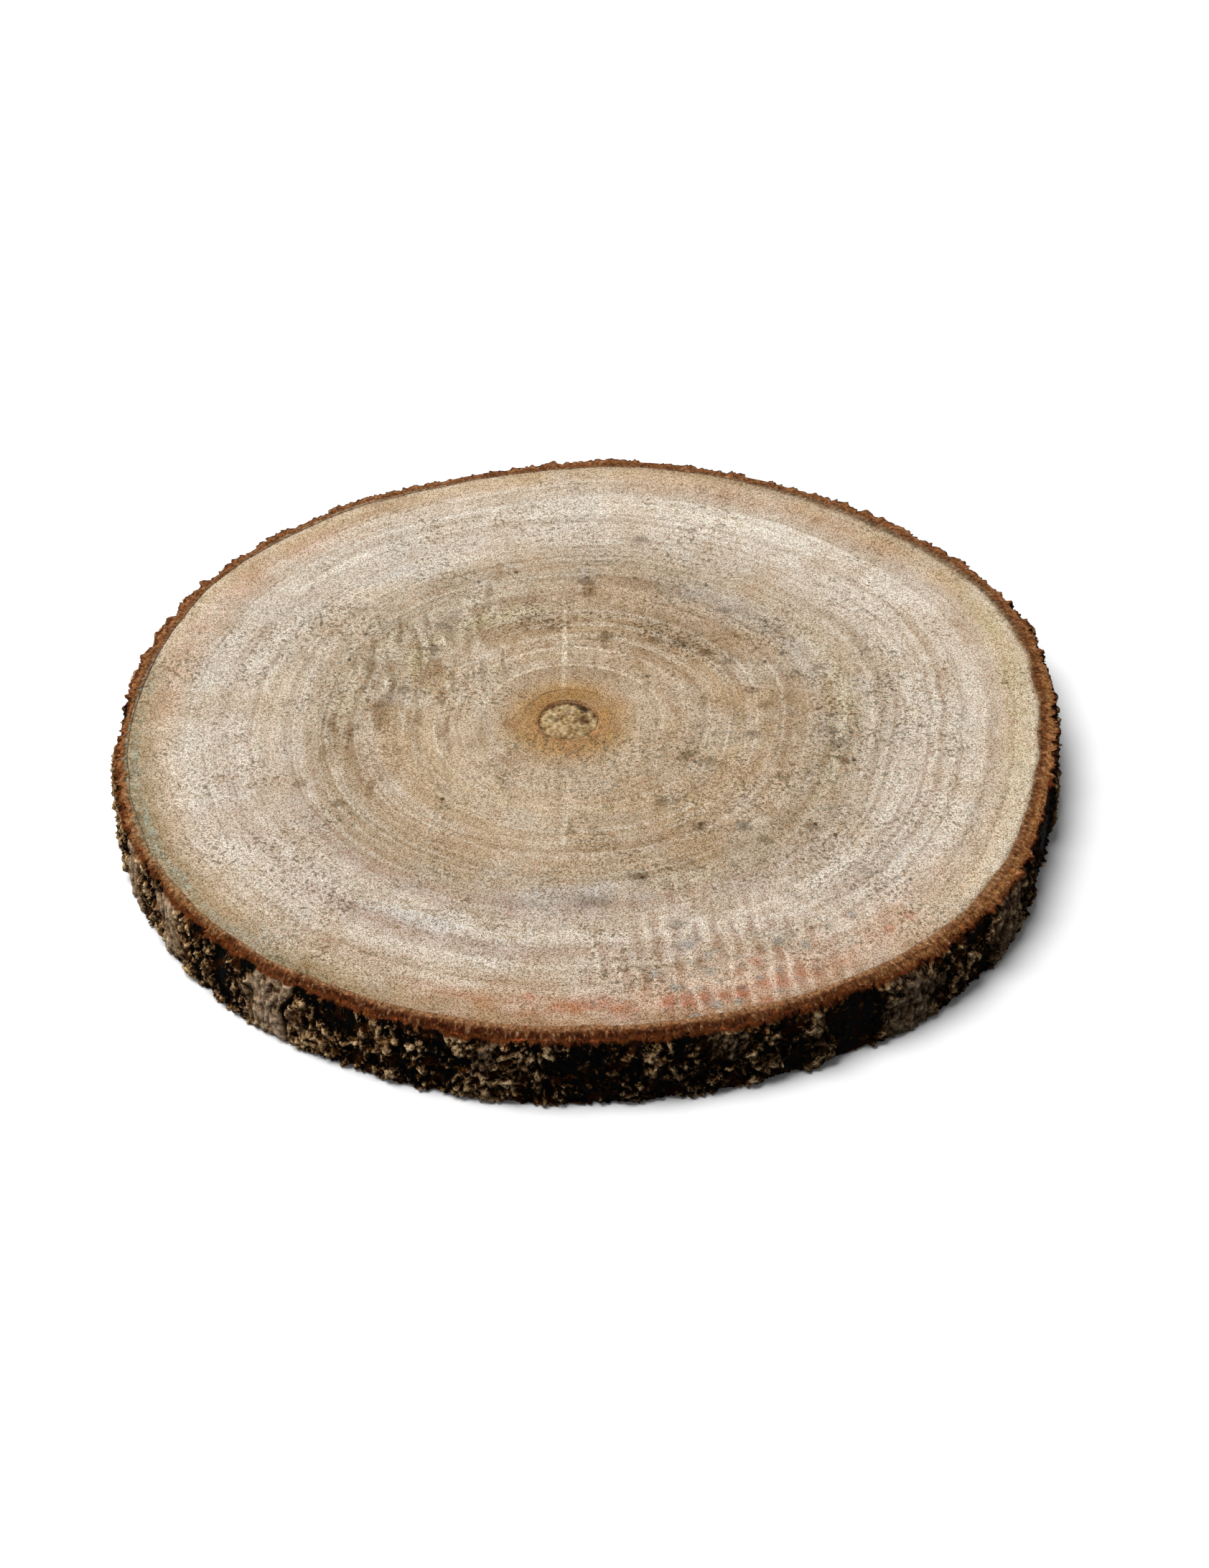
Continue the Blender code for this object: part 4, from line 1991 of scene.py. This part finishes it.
@dataclass(frozen=True)
class Studio:
    """The floor, the light, the pale room and the camera round the slice.

    Attributes:
        slice_: The slice that they stand round.
        elevation: How steeply the camera looks down.
        distance, lens: Its distance, in metres, and its focal length, in millimetres.
        aim: Where it looks, seen from the pith.
        floor_size, floor_gap: The floor's breadth, and how far below the slice it lies.
        horizon: Rise at which the room's light starts, and at which it is full.
        key_energy, key_breadth, key_heading: The high light's strength, breadth and direction.
        ceiling_light, window_light: Strengths of the room's overall light and of its bright side.
        window_heading, window_band: Where the bright side is, and between which heights.
    """

    slice_: Slice
    elevation: float = math.radians(37.0)
    distance: float = 1030.0 * MM
    lens: float = 84.4
    aim: Vector = field(default_factory=lambda: Vector((11.1 * MM, -11.4 * MM, -15.1 * MM)))
    floor_size: float = 40.0
    floor_gap: float = 0.2 * MM
    horizon: tuple[float, float] = (-0.05, -0.03)
    key_energy: float = 3.05
    key_breadth: float = math.radians(36.0)
    key_heading: Vector = field(default_factory=lambda: Vector((-0.33, -0.10, 0.94)))
    ceiling_light: float = 0.17
    window_light: float = 3.9
    window_heading: float = math.radians(160.0)
    window_band: tuple[tuple[float, str], ...] = (
        (0.470, "000000"),
        (0.485, "ffffff"),
        (0.600, "ffffff"),
        (0.700, "000000"),
    )

    def build(self) -> None:
        """Set up the floor, the light, the room and the camera."""
        self._lay_floor()
        self._hang_light()
        self._paint_room()
        self._place_camera()

    def _lay_floor(self) -> None:
        """Lay the pale floor just under the slice, with no glow of its own up the bark."""
        mesh = bmesh.new()
        bmesh.ops.create_grid(mesh, x_segments=1, y_segments=1, size=self.floor_size / 2.0)
        drop = UP * (self.slice_.pith_foot.z - self.floor_gap)
        bmesh.ops.translate(mesh, verts=mesh.verts, vec=drop)
        data = bpy.data.meshes.new("studio_floor")
        mesh.to_mesh(data)
        mesh.free()
        data.materials.append(StudioFloor().make())
        floor = bpy.data.objects.new("studio_floor", data)
        bpy.context.collection.objects.link(floor)
        floor.visible_diffuse = False

    def _hang_light(self) -> None:
        """Hang one broad, high light to the left and behind."""
        data = bpy.data.lights.new("key_light", "SUN")
        data.energy = self.key_energy
        data.angle = self.key_breadth
        light = bpy.data.objects.new("key_light", data)
        bpy.context.collection.objects.link(light)
        light.location = self.slice_.pith_top + self.key_heading
        light.rotation_euler = (-self.key_heading).to_track_quat("-Z", "Y").to_euler()

    def _paint_room(self) -> None:
        """Light the slice from a dim room with one bright, low side at the left."""
        world = bpy.data.worlds.new("pale_room")
        world.use_nodes = True
        graph = Graph(world.node_tree)
        heading = graph.add("TexCoord", out="Generated")
        rise = graph.add("SeparateXYZ", {0: heading}, out="Z")
        level = graph.add("Math", {0: rise, 1: 0.5, 2: 0.5}, operation="MULTIPLY_ADD")
        band = graph.add("ValToRGB", {"Fac": level}, stops=self.window_band)
        towards = tuple(around_vector(self.window_heading) * self.window_light)
        facing = graph.add(
            "VectorMath", {0: heading, 1: towards}, out="Value", operation="DOT_PRODUCT"
        )
        side = graph.add("Math", {0: facing, 1: 0.0}, operation="MAXIMUM")
        ceiling = graph.add(
            "MapRange",
            {
                "Value": rise,
                "From Min": self.horizon[0],
                "From Max": self.horizon[1],
                "To Max": self.ceiling_light,
            },
        )
        strength = graph.add("Math", {0: band, 1: side, 2: ceiling}, operation="MULTIPLY_ADD")
        background = world.node_tree.nodes["Background"]
        background.inputs["Color"].default_value = linear("ffffff")
        world.node_tree.links.new(strength, background.inputs["Strength"])
        bpy.context.scene.world = world

    def _place_camera(self) -> None:
        """Place the camera in front of the slice, looking down on it."""
        forward = Vector((0.0, math.cos(self.elevation), -math.sin(self.elevation)))
        upward = Vector((0.0, math.sin(self.elevation), math.cos(self.elevation)))
        data = bpy.data.cameras.new("studio_camera")
        data.sensor_width = SENSOR_WIDTH
        data.lens = self.lens
        camera = bpy.data.objects.new("studio_camera", data)
        bpy.context.collection.objects.link(camera)
        location = self.slice_.pith_top + self.aim - forward * self.distance
        columns = (Vector((1.0, 0.0, 0.0)), upward, -forward)
        camera.matrix_world = Matrix.Translation(location) @ Matrix(columns).transposed().to_4x4()
        bpy.context.scene.camera = camera


def main() -> None:
    """Build the slice's pieces, dress them, and set up the studio."""
    logging.basicConfig(level=logging.INFO, format="%(message)s")
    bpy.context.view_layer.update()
    noise.seed_set(NOISE_SEED)
    low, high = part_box(NODE)
    slice_ = Slice.in_box(low, high)
    pieces = (
        (SawnWood(slice_), SawnEndGrain()),
        (Bark(slice_), FurrowedBark()),
        (Pith(slice_), SpongyPith()),
    )
    for maker, finish in pieces:
        piece = maker.build()
        piece.data.materials.append(finish.make(slice_.pith_top))
        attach(piece, BODY)
        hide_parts(NODE)
        LOG.info("built %s with %d faces", piece.name, len(piece.data.polygons))
    Studio(slice_).build()
    bpy.context.scene.view_settings.view_transform = "Standard"


if __name__ == "__main__":
    main()
